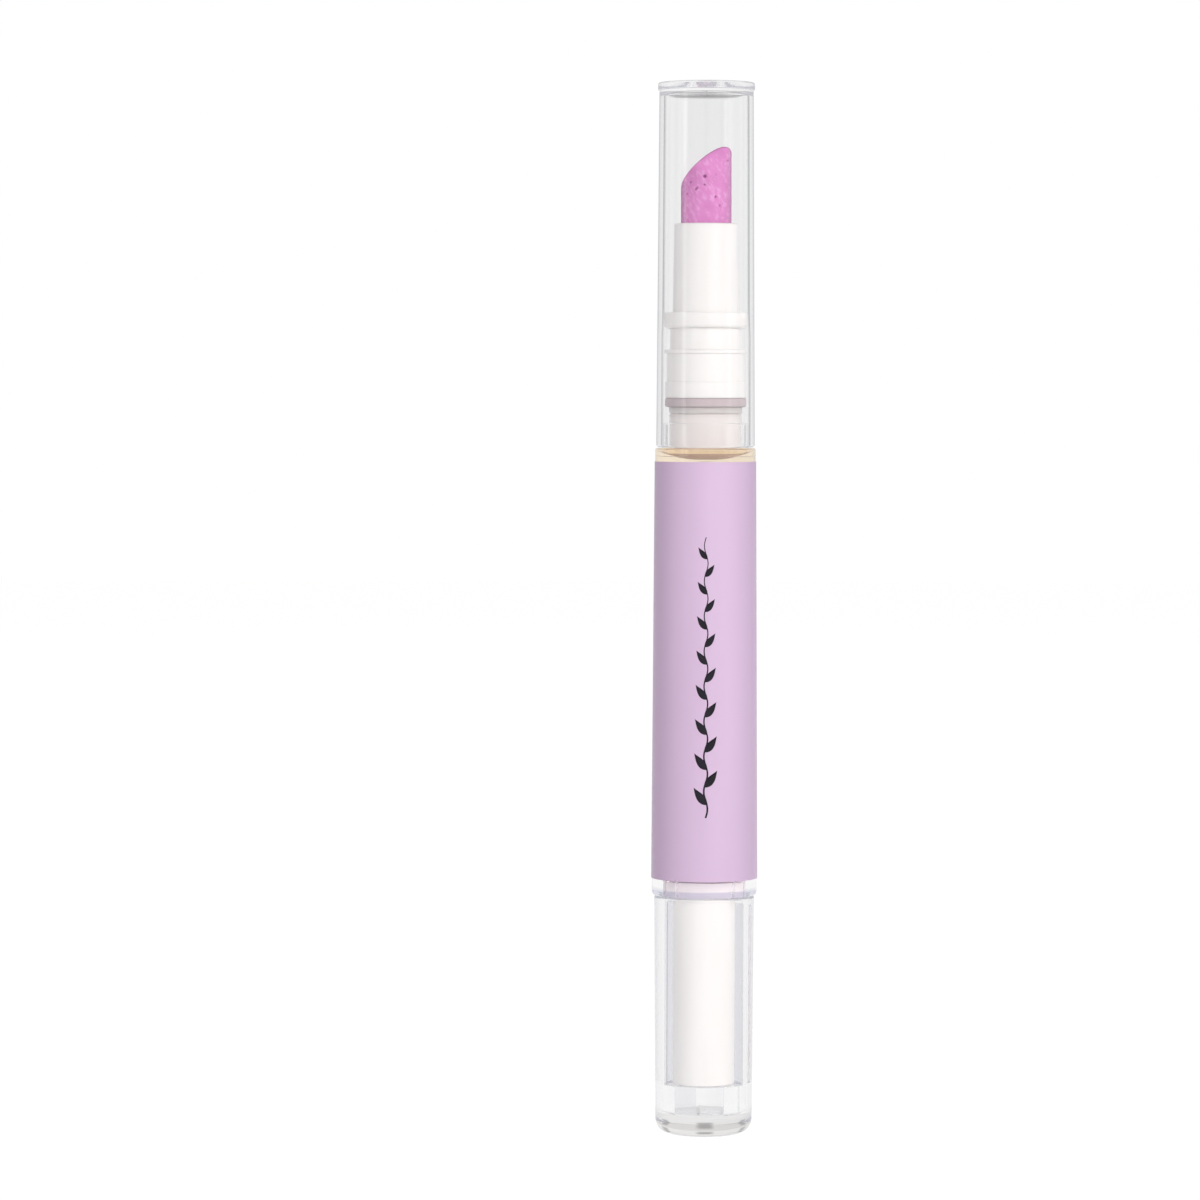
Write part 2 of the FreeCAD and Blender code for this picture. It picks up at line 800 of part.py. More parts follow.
def make_barrel():
    """Clear drafted barrel: reservoir, shoulder, stepped neck, and key slots in its open rear."""
    body = new_body("barrel")
    reservoir_top = shoulder - size("shoulder_wall")
    revolve(
        body,
        "barrel_shell",
        [
            (size("insert_radius"), barrel_rear),
            (size("barrel_rear_radius"), barrel_rear),
            (size("barrel_front_radius"), shoulder),
            (size("neck_radius"), shoulder),
            (size("neck_radius"), neck_top),
            (size("neck_bore_radius"), neck_top),
            (size("neck_bore_radius"), reservoir_top),
            (size("reservoir_radius"), reservoir_top - size("shoulder_rise")),
            (size("reservoir_radius"), insert_end),
            (size("insert_radius"), insert_end),
        ],
    )
    rear = [(size("barrel_rear_radius"), barrel_rear)]
    chamfer_rings(body, "rear_edge", rear, size("barrel_rear_chamfer"))
    fronts = [(size("barrel_front_radius"), shoulder), (size("neck_radius"), neck_top)]
    chamfer_rings(body, "shoulder_edges", fronts, size("shoulder_chamfer"))
    corners = bar_corners(
        size("insert_radius") - size("running_clearance") * 2,
        size("slot_radius"),
        size("key_width"),
    )
    slot = cut_up(body, "key_slot", corners, barrel_rear, slot_end)
    around(body, "key_slots", slot, size("key_count"))
    turn_body(body, size("key_turn"))
    return body


def make_oil():
    """The oil between the piston's domed top and the plug, up to the clear shoulder."""
    body = new_body("oil_fill")
    top = piston_levels()[2] + size("running_clearance")
    crown = top + size("piston_dome")
    film = size("film_clearance")
    radius = size("reservoir_radius") - film
    neck = size("neck_bore_radius") - film
    shoulder_top = shoulder - size("shoulder_wall") - film
    shoulder_low = shoulder_top - size("shoulder_rise")
    tube = size("tube_radius") + film
    revolve(
        body,
        "oil_column",
        [
            (ZERO, crown),
            (radius, top, "dome"),
            (radius, shoulder_low),
            (neck, shoulder_top),
            (neck, plug_bottom - size("running_clearance")),
            (ZERO, plug_tip - size("running_clearance"), "dome"),
        ],
    )
    corners_low = plug_tip - size("tube_below_plug") - film
    cut = body.newObject("PartDesign::SubtractiveCylinder", "tube_mouth")
    cut.AttachmentSupport = (origin_feature(body, "XY_Plane"), [""])
    cut.MapMode = "FlatFace"
    cut.setExpression("AttachmentOffset.Base.z", corners_low.formula)
    cut.setExpression("Radius", tube.formula)
    cut.setExpression("Height", size("cut_overrun").formula)
    doc.recompute()
    return body


def barrel_radius_at(height):
    """Outside radius of the drafted barrel at a height."""
    share = (height - barrel_rear) / size("barrel_length")
    return size("barrel_rear_radius") - (size("barrel_rear_radius") - size("barrel_front_radius")) * share


def make_label():
    """Printed film wrapped round the barrel."""
    body = new_body("label_sleeve")
    low = barrel_rear + size("label_start")
    high = low + size("label_length")
    inside_low = barrel_radius_at(low) + size("film_clearance")
    inside_high = barrel_radius_at(high) + size("film_clearance")
    thickness = size("label_thickness")
    revolve(
        body,
        "label_film",
        [
            (inside_low, low),
            (inside_low + thickness, low),
            (inside_high + thickness, high),
            (inside_high, high),
        ],
    )
    return body


def make_neck_plug():
    """Milky plug in the neck: a domed end in the oil, the connector's socket and a flange on top."""
    body = new_body("neck_plug")
    stem_end = seal_top - size("stem_length") - size("press_clearance")
    land = plug_radius - size("plug_chamfer")
    revolve(
        body,
        "plug_moulding",
        [
            (ZERO, plug_tip),
            (plug_radius, plug_bottom, "dome"),
            (plug_radius, plug_top - size("plug_chamfer")),
            (land, plug_top),
            (land, plug_top + size("running_clearance")),
            (size("plug_flange_radius"), plug_top + size("running_clearance")),
            (size("plug_flange_radius"), plug_flange_top),
            (stem_hole_radius, plug_flange_top),
            (stem_hole_radius, stem_end),
            (ZERO, stem_end),
        ],
    )
    hole = body.newObject("PartDesign::SubtractiveCylinder", "plug_tube_hole")
    hole.AttachmentSupport = (origin_feature(body, "XY_Plane"), [""])
    hole.MapMode = "FlatFace"
    overrun = size("cut_overrun")
    hole.setExpression("AttachmentOffset.Base.z", (plug_tip - overrun).formula)
    hole.setExpression("Radius", tube_hole_radius.formula)
    hole.setExpression("Height", (stem_end - plug_tip + overrun * 2).formula)
    doc.recompute()
    return body


def make_neck_seal():
    """Soft gasket between the plug's flange and the connector's foot."""
    body = new_body("neck_seal")
    radius = size("seal_radius")
    ring(body, "seal_ring", stem_hole_radius, radius, plug_flange_top, seal_top)
    edges = [(radius, plug_flange_top), (radius, seal_top)]
    chamfer_rings(body, "seal_edges", edges, size("seal_chamfer"))
    return body


def make_neck_connector():
    """White connector: a stem in the plug, stepped rings under the cap and a spigot in the holder."""
    body = new_body("neck_connector")
    stem_bottom = seal_top - size("stem_length")
    revolve(
        body,
        "connector_moulding",
        [
            (tube_hole_radius, stem_bottom),
            (size("stem_radius"), stem_bottom),
            (size("stem_radius"), seal_top),
            (size("foot_radius"), seal_top),
            (size("foot_radius"), foot_top),
            (size("body_radius"), foot_top),
            (size("body_radius"), body_top),
            (size("bead_radius"), body_top),
            (size("bead_radius"), bead_top),
            (size("waist_radius"), bead_top),
            (size("waist_radius"), holder_bottom),
            (size("spigot_radius"), holder_bottom),
            (size("spigot_radius"), spigot_top),
            (tube_hole_radius, spigot_top),
        ],
    )
    return body


def make_tip_holder():
    """White tapered holder: it plugs onto the connector and grips the pusher tip."""
    body = new_body("tip_holder")
    socket = size("spigot_radius") + size("press_clearance")
    socket_end = spigot_top + size("press_clearance")
    tip_socket = size("tip_radius") + size("press_clearance")
    revolve(
        body,
        "holder_moulding",
        [
            (socket, holder_bottom),
            (size("holder_flange_radius"), holder_bottom),
            (size("holder_flange_radius"), holder_flange_top),
            (size("holder_base_radius"), holder_flange_top),
            (size("holder_mouth_radius"), holder_top),
            (tip_socket, holder_top),
            (tip_socket, tip_seat),
            (tube_hole_radius, tip_seat),
            (tube_hole_radius, socket_end),
            (socket, socket_end),
        ],
    )
    mouth = [(size("holder_mouth_radius"), holder_top)]
    chamfer_rings(body, "holder_mouth", mouth, size("holder_mouth_chamfer"))
    flange = [(size("holder_flange_radius"), holder_bottom)]
    round_rings(body, "holder_flange", flange, size("holder_flange_round"))
    return body


def make_pusher_tip():
    """Soft pusher: a round plug cut off on a slant, with the feed tube's hole and a fine outlet."""
    body = new_body("pusher_tip")
    radius, outlet = size("tip_radius"), size("outlet_radius")
    apex = holder_top + size("tip_reach")
    hole_top = tube_top + size("press_clearance")
    revolve(
        body,
        "tip_stock",
        [
            (tube_hole_radius, tip_seat),
            (radius, tip_seat),
            (radius, apex),
            (outlet, apex),
            (outlet, hole_top),
            (tube_hole_radius, hole_top),
        ],
    )
    slope = tangent(size("bevel_angle"))
    reach = size("cut_overrun")
    wide = radius + reach
    high = apex + slope * reach
    before = body.Shape.Volume
    sketch = new_sketch(body, "bevel_outline", "XZ_Plane")
    outline(sketch, [(-wide, apex - slope * (radius * 2 + reach)), (wide, high), (-wide, high)])
    bevel = body.newObject("PartDesign::Pocket", "bevel")
    bevel.Profile = sketch
    bevel.Type = "ThroughAll"
    bevel.Midplane = True
    doc.recompute()
    if not body.Shape.Volume < before:
        raise RuntimeError("bevel cut nothing")
    rim = [
        f"Edge{number}"
        for number, edge in enumerate(bevel.Shape.Edges, start=1)
        if isinstance(edge.Curve, Part.Ellipse)
        and abs(edge.Curve.MinorRadius - radius.value) < SAME_PLACE
    ]
    soft = body.newObject("PartDesign::Fillet", "tip_edge")
    soft.Base = (bevel, rim)
    soft.setExpression("Radius", size("tip_round").formula)
    doc.recompute()
    turn_body(body, size("bevel_turn"))
    return body


def make_feed_tube():
    """Fine tube from the reservoir through the plug, connector and holder into the tip."""
    parts = []
    for name, radius in (("tube_bar", "tube_radius"), ("tube_bore", "tube_bore_radius")):
        rod = doc.addObject("Part::Cylinder", name)
        rod.setExpression("Radius", size(radius).formula)
        rod.setExpression("Height", (tube_top - tube_bottom).formula)
        rod.setExpression("Placement.Base.z", tube_bottom.formula)
        parts.append(rod)
    tube = doc.addObject("Part::Cut", "feed_tube")
    tube.Base, tube.Tool = parts
    tube.Label = "feed_tube"
    doc.recompute()
    return tube


def make_cap():
    """Clear cap: a rimmed crown, a drafted bore and a wider socket that fits the neck's seat."""
    body = new_body("cap")
    mouth, crown, rim = size("cap_mouth_radius"), size("cap_crown_radius"), size("cap_rim_radius")
    rim_bottom = cap_top - size("cap_rim_height")
    socket_top = cap_bottom + size("cap_socket_depth")
    ceiling = cap_top - size("cap_ceiling")
    revolve(
        body,
        "cap_shell",
        [
            (ZERO, cap_top),
            (rim, cap_top),
            (rim, rim_bottom),
            (crown, rim_bottom),
            (mouth, cap_bottom),
            (size("cap_socket_radius"), cap_bottom),
            (size("cap_socket_radius"), socket_top),
            (size("cap_bore_radius"), socket_top),
            (size("cap_bore_end_radius"), ceiling),
            (ZERO, ceiling),
        ],
    )
    round_rings(body, "cap_rim", [(rim, cap_top)], size("cap_rim_round"))
    inside = [(size("cap_bore_end_radius"), ceiling)]
    chamfer_rings(body, "cap_ceiling_edge", inside, size("cap_ceiling_chamfer"))
    edges = [(mouth, cap_bottom), (size("cap_socket_radius"), cap_bottom)]
    chamfer_rings(body, "cap_mouth_edges", edges, size("cap_mouth_chamfer"))
    return body


def check_document():
    """Stops if any object of the document failed."""
    doc.recompute()
    for item in doc.Objects:
        if "Invalid" in item.State or "Error" in item.State:
            raise RuntimeError(f"{item.Name} is {item.State}")


def write_pieces(pieces):
    """Writes each piece's shape to its own file, named by its label."""
    os.makedirs(OUT_FOLDER, exist_ok=True)
    for piece in pieces:
        shape = piece.Shape
        if shape.isNull() or not shape.isValid() or not shape.Solids:
            raise RuntimeError(f"{piece.Label} has no valid solid")
        shape.exportStep(os.path.join(OUT_FOLDER, piece.Label + ".step"))
        print(f"{piece.Label:16s} {len(shape.Solids)} solid, {shape.Volume:9.2f} mm3")


pieces = [
    make_knob(),
    make_drive_sleeve(),
    make_screw_rod(),
    make_end_collar(),
    make_ratchet_ring(),
    make_click_spring(),
    make_feed_nut(),
    make_piston(),
    make_barrel(),
    make_oil(),
    make_label(),
    make_neck_plug(),
    make_neck_seal(),
    make_neck_connector(),
    make_tip_holder(),
    make_pusher_tip(),
    make_feed_tube(),
    make_cap(),
]
check_document()
write_pieces(pieces)
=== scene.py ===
"""Looks of a twist-up nail oil pen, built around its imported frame.

The pen stands on its clear twist knob, +Z up, and the camera looks along +Y. Every shape is a grid
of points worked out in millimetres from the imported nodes' places, and brought to metres as it
becomes a mesh. A turned piece is an outline of (radius, height), drawn so that the solid lies on
its left.
"""

import logging
import math
from abc import ABC, abstractmethod
from collections.abc import Sequence
from dataclasses import dataclass, field
from enum import Enum
from functools import cached_property

import bmesh
import bpy
import numpy as np
from mathutils import Matrix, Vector
from numpy.typing import NDArray


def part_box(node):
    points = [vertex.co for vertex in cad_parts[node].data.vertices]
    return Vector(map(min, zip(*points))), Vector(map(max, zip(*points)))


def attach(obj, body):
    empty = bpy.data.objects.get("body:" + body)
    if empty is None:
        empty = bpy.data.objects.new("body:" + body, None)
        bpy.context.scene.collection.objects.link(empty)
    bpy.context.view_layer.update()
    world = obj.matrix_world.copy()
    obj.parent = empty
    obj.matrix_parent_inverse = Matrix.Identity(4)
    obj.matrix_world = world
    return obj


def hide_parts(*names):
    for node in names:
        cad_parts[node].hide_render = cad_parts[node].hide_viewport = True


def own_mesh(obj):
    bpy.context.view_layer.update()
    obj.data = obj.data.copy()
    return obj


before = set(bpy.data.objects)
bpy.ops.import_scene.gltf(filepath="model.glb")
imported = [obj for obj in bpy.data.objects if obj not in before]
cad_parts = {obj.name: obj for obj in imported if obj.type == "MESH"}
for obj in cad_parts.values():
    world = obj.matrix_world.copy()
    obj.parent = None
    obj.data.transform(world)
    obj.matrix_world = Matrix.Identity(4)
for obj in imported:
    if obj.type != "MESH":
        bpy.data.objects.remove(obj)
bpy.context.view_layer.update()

Array = NDArray[np.float64]
Faces = NDArray[np.int64]
Piece = bpy.types.Object
Material = bpy.types.Material
Tree = bpy.types.NodeTree
Node = bpy.types.Node
Socket = bpy.types.NodeSocket
Colour = tuple[float, float, float]
Value = float | Colour | Socket

MM = 0.001
FULL_TURN = 2 * math.pi
FRONT = -math.pi / 2
SEED = 7

# Points round a turned piece
COLUMNS = 176
# Shares of a rib's half angle: how near to its flank no steady column lies, and how far from the
# flank its own two columns lie
FLANK_CLEAR = 0.08
FLANK_STEP = 0.02
# Points nearer than this, in millimetres, become one
MERGE_WITHIN = 0.0005
# The tip's attribute of how deep each point lies in a pit
SUNK = "sunk"

logging.basicConfig(level=logging.INFO, format="%(message)s")
log = logging.getLogger("pen")


class Body(Enum):
    """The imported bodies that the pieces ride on."""

    PEN = "pen_body"
    CAP = "cap"
    KNOB = "knob"
    ROD = "rod"


class Slot(Enum):
    """The record's material slots."""

    CLEAR = "clear_plastic"
    WHITE = "white_plastic"
    MILKY = "milky_plastic"
    NATURAL = "natural_plastic"
    FILM = "lavender_film"
    OIL = "amber_oil"
    TIP = "pink_tip"
    SEAL = "seal_rubber"


class Ends(Enum):
    """How the rows of a grid close."""

    LOOP = "the last row joins the first"
    POLES = "the first and last rows shrink to points on the axis"


# Shapes


@dataclass(frozen=True)
class Span:
    """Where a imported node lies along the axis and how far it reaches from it, in millimetres."""

    low: float
    high: float
    radius: float

    @classmethod
    def of(cls, node: str) -> "Span":
        """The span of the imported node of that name."""
        low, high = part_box(node)
        return cls(low.z / MM, high.z / MM, max(high.x, high.y, -low.x, -low.y) / MM)


@dataclass(frozen=True)
class Corner:
    """A corner of a turned outline: its radius, its height and the arc's radius that rounds it."""

    radius: float
    height: float
    round: float = 0.04


def rounded(corners: Sequence[Corner], closed: bool = False, steps: int = 5) -> Array:
    """Rounds the corners of an outline.

    An arc touches both sides of its corner. Its centre lies on the corner's bisector, and its
    points swing at a steady angle from one tangent point to the other. No arc takes more than
    0.45 of a side.

    Args:
        corners: The outline's corners in order.
        closed: Whether the last corner joins the first. An open outline keeps its two end points.
        steps: How many straight pieces each arc has.

    Returns:
        The outline's points, (points, 2), as radius and height.
    """
    points = np.array([(corner.radius, corner.height) for corner in corners])
    wanted = np.array([corner.round for corner in corners])
    turning = np.stack((np.roll(points, 1, axis=0), points, np.roll(points, -1, axis=0)))
    if not closed:
        turning, wanted = turning[:, 1:-1], wanted[1:-1]
    back, ahead = turning[0] - turning[1], turning[2] - turning[1]
    sides = np.stack((np.linalg.norm(back, axis=1), np.linalg.norm(ahead, axis=1)))
    back = back / sides[0][:, None]
    ahead = ahead / sides[1][:, None]
    half = np.arccos(np.clip((back * ahead).sum(axis=1), -1.0, 1.0)) / 2
    reach = np.minimum(wanted / np.tan(half), 0.45 * sides.min(axis=0))
    bisector = back + ahead
    bisector = bisector / np.linalg.norm(bisector, axis=1, keepdims=True)
    centre = turning[1] + bisector * (reach / np.cos(half))[:, None]
    start = turning[1] + back * reach[:, None] - centre
    end = turning[1] + ahead * reach[:, None] - centre
    sweep = (math.pi - 2 * half)[:, None, None]
    share = np.linspace(0.0, 1.0, steps + 1)[None, :, None]
    swing = np.sin((1 - share) * sweep) * start[:, None] + np.sin(share * sweep) * end[:, None]
    arcs = centre[:, None] + swing / np.sin(sweep)
    if closed:
        return arcs.reshape(-1, 2)
    return np.vstack((points[:1], arcs.reshape(-1, 2), points[-1:]))


def dome(rim: float, base: float, rise: float, rows: int) -> Array:
    """A ball's cap from its pole to its rim.

    The ball's radius follows from the rim and the rise, and the points are at steady angles on it.

    Args:
        rim: Radius of the rim.
        base: Height of the rim.
        rise: How far the pole lies above the rim, or below it if negative.
        rows: How many points to give.

    Returns:
        The points, (rows, 2), as radius and height.
    """
    ball = (rim**2 + rise**2) / (2 * abs(rise))
    angle = np.linspace(0.0, math.asin(rim / ball), rows)
    fall = ball * (1 - np.cos(angle)) * np.sign(rise)
    return np.stack((ball * np.sin(angle), base + rise - fall), axis=1)


def even_turn(columns: int = COLUMNS) -> Array:
    """Angles evenly spaced round the axis."""
    return np.arange(columns) * FULL_TURN / columns


@dataclass(frozen=True)
class Pattern:
    """Ribs, slots or flats evenly spaced round the axis.

    Attributes:
        count: How many there are.
        turn: Angle of the first, in degrees.
        half: Half the angle that each takes, in degrees.
        between: How many columns of points each pitch has besides those at the flanks.
    """

    count: int
    turn: float
    half: float
    between: int

    def offsets(self) -> Array:
        """Angles within one pitch, from its middle, in degrees.

        They are evenly spaced, but near a flank two columns close together take their place.

        Returns:
            The angles in rising order.
        """
        pitch = 360.0 / self.count
        steady = (np.arange(self.between) / self.between - 0.5) * pitch
        steady = steady[np.abs(np.abs(steady) - self.half) > FLANK_CLEAR * self.half]
        outer, inner = 1.0 + FLANK_STEP, 1.0 - FLANK_STEP
        flank = self.half * np.array([-outer, -inner, inner, outer])
        return np.sort(np.concatenate((steady, flank)))

    def angles(self) -> Array:
        """Angles of all the columns, in radians."""
        middles = self.turn + np.arange(self.count) * 360.0 / self.count
        return np.radians(middles[:, None] + self.offsets()[None, :]).ravel()

    def inside(self) -> NDArray[np.bool_]:
        """Which columns lie within a rib, slot or flat."""
        return np.tile(np.abs(self.offsets()) < self.half, self.count)


def around_axis(radii: Array, heights: Array, angles: Array) -> Array:
    """Points at those radii, heights and angles: x is r cos a, y is r sin a and z is the height.

    Args:
        radii: Radii in millimetres, (rows, 1) or (rows, columns).
        heights: Heights in millimetres, (rows, 1) or (rows, columns).
        angles: Angles in radians, (columns,).

    Returns:
        The points in millimetres, (rows, columns, 3).
    """
    across, up, turn = np.broadcast_arrays(radii, heights, angles[None, :])
    return np.stack((across * np.cos(turn), across * np.sin(turn), up), axis=-1)


def turned(outline: Array, columns: int = COLUMNS) -> Array:
    """Carries an outline of (radius, height) round the axis in even steps."""
    return around_axis(outline[:, :1], outline[:, 1:], even_turn(columns))


def wrapped_faces(rows: int, columns: int, loop: bool) -> Faces:
    """Four-sided faces of a grid whose columns close round the axis.

    A face joins a point, the next one in its row and the two above them.

    Args:
        rows: How many rows of points there are.
        columns: How many columns there are.
        loop: Whether the last row joins the first.

    Returns:
        The faces' point numbers, (faces, 4).
    """
    row = np.arange(rows if loop else rows - 1)[:, None]
    column = np.arange(columns)[None, :]
    here, above = row * columns, (row + 1) % rows * columns
    beside = (column + 1) % columns
    corners = (here + column, here + beside, above + beside, above + column)
    return np.stack(corners, axis=-1).reshape(-1, 4)


def make_mesh(name: str, points: Array, faces: list[list[int]], smooth_to: float = 35.0) -> Piece:
    """Makes an object of points in millimetres, smooth but for edges sharper than an angle.

    Args:
        name: The object's name.
        points: The points in millimetres, (points, 3).
        faces: Each face's point numbers, seen anticlockwise from outside.
        smooth_to: The largest turn between faces that still looks smooth, in degrees.

    Returns:
        The object, at the origin, with its normals led by its larger faces.
    """
    mesh = bpy.data.meshes.new(name)
    mesh.from_pydata((points * MM).tolist(), [], faces)
    net = bmesh.new()
    net.from_mesh(mesh)
    bmesh.ops.remove_doubles(net, verts=net.verts, dist=MERGE_WITHIN * MM)
    bmesh.ops.dissolve_degenerate(net, edges=net.edges, dist=MERGE_WITHIN * MM)
    net.to_mesh(mesh)
    net.free()
    mesh.shade_smooth()
    mesh.set_sharp_from_angle(angle=math.radians(smooth_to))
    made = bpy.data.objects.new(name, mesh)
    bpy.context.scene.collection.objects.link(made)
    normals = made.modifiers.new("normals", "WEIGHTED_NORMAL")
    normals.keep_sharp = True
    return made


def skin(name: str, grid: Array, ends: Ends, smooth_to: float = 35.0) -> Piece:
    """Covers a grid that closes round the axis.

    Args:
        name: The object's name.
        grid: The points in millimetres, (rows, columns, 3).
        ends: How the rows close. With poles, the first and last rows are each one point.
        smooth_to: The largest turn between faces that still looks smooth, in degrees.

    Returns:
        The object.
    """
    rows, columns, _ = grid.shape
    if ends is Ends.LOOP:
        quads = wrapped_faces(rows, columns, loop=True)
        return make_mesh(name, grid.reshape(-1, 3), quads.tolist(), smooth_to)
    inner = grid[1:-1].reshape(-1, 3)
    points = np.vstack((inner, grid[0, :1], grid[-1, :1]))
    here = np.arange(columns)
    beside = (here + 1) % columns
    last = len(inner) - columns
    first_fan = np.stack((np.full(columns, len(inner)), beside, here), axis=1)
    last_fan = np.stack((last + here, last + beside, np.full(columns, len(inner) + 1)), axis=1)
    quads = wrapped_faces(rows - 2, columns, loop=False)
    faces = quads.tolist() + first_fan.tolist() + last_fan.tolist()
    return make_mesh(name, points, faces, smooth_to)


def lathe(name: str, corners: Sequence[Corner], ends: Ends, columns: int = COLUMNS) -> Piece:
    """Turns a piece from the corners of its outline.

    Args:
        name: The object's name.
        corners: The outline's corners, all the way round for a ring or from pole to pole.
        ends: How the outline ends.
        columns: How many points go round the axis.

    Returns:
        The object.
    """
    outline = rounded(corners, closed=ends is Ends.LOOP)
    return skin(name, turned(outline, columns), ends)


def all_round(outline: Array, columns: int) -> Array:
    """The outline's radii, the same in each column."""
    return np.repeat(outline[:, :1], columns, axis=1)


# Finishes


class Graph:
    """A shader tree with short ways to add and join nodes."""

    def __init__(self, tree: Tree) -> None:
        """Starts from that tree, which is emptied first."""
        self.tree = tree
        tree.nodes.clear()

    def add(
        self, kind: str, inputs: dict[str | int, Value] | None = None, **settings: object
    ) -> Node:
        """Adds a node.

        Args:
            kind: The node's type, without its ShaderNode prefix.
            inputs: What each input holds or is joined to, by name or number.
            settings: The node's own settings.

        Returns:
            The node.
        """
        node = self.tree.nodes.new(kind if kind.startswith("NodeGroup") else "ShaderNode" + kind)
        for name, value in settings.items():
            setattr(node, name, value)
        for name, value in (inputs or {}).items():
            socket = node.inputs[name]
            if isinstance(value, Socket):
                self.tree.links.new(value, socket)
            elif isinstance(value, tuple) and len(socket.default_value) > len(value):
                socket.default_value = (*value, 1.0)
            else:
                socket.default_value = value
        return node

    def maths(self, operation: str, first: Value, second: Value = 0.0) -> Socket:
        """The result of one operation on one or two numbers."""
        return self.add("Math", {0: first, 1: second}, operation=operation).outputs[0]

    def times(self, first: Value, second: Value) -> Socket:
        """The product of two numbers."""
        return self.maths("MULTIPLY", first, second)

    def spread(
        self, value: Value, low: float, high: float, to_low: float = 0.0, to_high: float = 1.0
    ) -> Socket:
        """The value carried smoothly from one range to another, and held at its ends.

        Args:
            value: The value.
            low: The lower end of its range.
            high: The upper end of its range.
            to_low: What the lower end becomes.
            to_high: What the upper end becomes.

        Returns:
            The new value.
        """
        inputs = {0: value, 1: low, 2: high, 3: to_low, 4: to_high}
        return self.add("MapRange", inputs, interpolation_type="SMOOTHSTEP").outputs["Result"]

    def mix(self, share: Value, first: Value, second: Value) -> Socket:
        """A colour between two, nearer the second as the share grows."""
        inputs = {0: share, 6: first, 7: second}
        return self.add("Mix", inputs, data_type="RGBA").outputs[2]

    def choose(self, share: Value, first: Value, second: Value) -> Socket:
        """A number between two, nearer the second as the share grows."""
        return self.add("Mix", {0: share, 2: first, 3: second}).outputs[0]

    def blend(self, share: Value, first: Socket, second: Socket) -> Socket:
        """A shader between two, nearer the second as the share grows."""
        return self.add("MixShader", {0: share, 1: first, 2: second}).outputs[0]

    def soft_ray(self) -> Socket:
        """Whether a ray tests for a lamp or carries soft bounced light."""
        path = self.add("LightPath")
        return self.maths("MAXIMUM", path.outputs["Is Shadow Ray"], path.outputs["Is Diffuse Ray"])

    def stretch(self, place: Value, factors: Colour) -> Socket:
        """The place multiplied by a factor along each axis."""
        return self.add("VectorMath", {0: place, 1: factors}, operation="MULTIPLY").outputs[0]

    def slant(self, place: Value, angle: float) -> Socket:
        """The place turned by an angle about the Y axis, in radians."""
        inputs = {"Vector": place, "Angle": angle}
        return self.add("VectorRotate", inputs, rotation_type="Y_AXIS").outputs[0]

    def facing(self) -> Socket:
        """How far the surface turns away from the view: 0 face on, 1 edge on."""
        return self.add("LayerWeight", {"Blend": 0.5}).outputs["Facing"]

    def noise(self, place: Value, scale: Value, detail: float = 3.0) -> Socket:
        """Soft noise of that scale in each metre."""
        inputs = {"Vector": place, "Scale": scale, "Detail": detail}
        return self.add("TexNoise", inputs).outputs["Fac"]


def new_group(
    name: str, takes: dict[str, str], gives: dict[str, str]
) -> tuple[Graph, Node, Node]:
    """Starts a node group.

    Args:
        name: The group's name.
        takes: The inputs' names and socket types.
        gives: The outputs' names and socket types.

    Returns:
        The group's graph, its input node and its output node.
    """
    tree = bpy.data.node_groups.new(name, "ShaderNodeTree")
    for way, sockets in (("INPUT", takes), ("OUTPUT", gives)):
        for socket, kind in sockets.items():
            tree.interface.new_socket(socket, in_out=way, socket_type="NodeSocket" + kind)
    graph = Graph(tree)
    return graph, graph.add("NodeGroupInput"), graph.add("NodeGroupOutput")


def moulding_grain() -> Tree:
    """Fine grain and slow flow marks of moulded plastic, as a height and a mottle.

    The grain is soft noise. The flow marks are the same noise, stretched ten times along the axis.

    Returns:
        The group, with outputs Height and Mottle.
    """
    graph, takes, gives = new_group(
        "moulding_grain",
        {"Place": "Vector", "Grain": "Float", "Flow": "Float"},
        {"Height": "Float", "Mottle": "Float"},
    )
    place = takes.outputs["Place"]
    fine = graph.noise(place, takes.outputs["Grain"], 4.0)
    drawn = graph.stretch(place, (1.0, 1.0, 0.1))
    flow = graph.noise(drawn, takes.outputs["Flow"], 2.0)
    height = graph.maths("ADD", graph.times(fine, 0.4), graph.times(flow, 0.6))
    graph.tree.links.new(height, gives.inputs["Height"])
    graph.tree.links.new(graph.spread(flow, 0.3, 0.7), gives.inputs["Mottle"])
    return graph.tree


def light_wear() -> Tree:
    """Fine hairlines and rubbed edges, as one mask.

    The hairlines are thin crests of noise stretched along two slants. The rubbed edges are where
    the surface turns sharply, broken up by noise.

    Returns:
        The group, with an output Mask.
    """
    graph, takes, gives = new_group(
        "light_wear", {"Place": "Vector", "Hairlines": "Float", "Edges": "Float"}, {"Mask": "Float"}
    )
    place = takes.outputs["Place"]
    lines = []
    for slant in (0.5, -0.9):
        drawn = graph.stretch(graph.slant(place, slant), (2600.0, 2600.0, 90.0))
        crest = graph.maths("ABSOLUTE", graph.maths("SUBTRACT", graph.noise(drawn, 1.0, 1.0), 0.5))
        lines.append(graph.spread(crest, 0.0, 0.012, 1.0, 0.0))
    hairlines = graph.times(graph.maths("MAXIMUM", *lines), takes.outputs["Hairlines"])
    sharp = graph.spread(graph.add("NewGeometry").outputs["Pointiness"], 0.52, 0.6)
    rubbed = graph.times(sharp, graph.spread(graph.noise(place, 1400.0), 0.4, 0.7))
    edges = graph.times(rubbed, takes.outputs["Edges"])
    graph.tree.links.new(graph.maths("MAXIMUM", hairlines, edges), gives.inputs["Mask"])
    return graph.tree


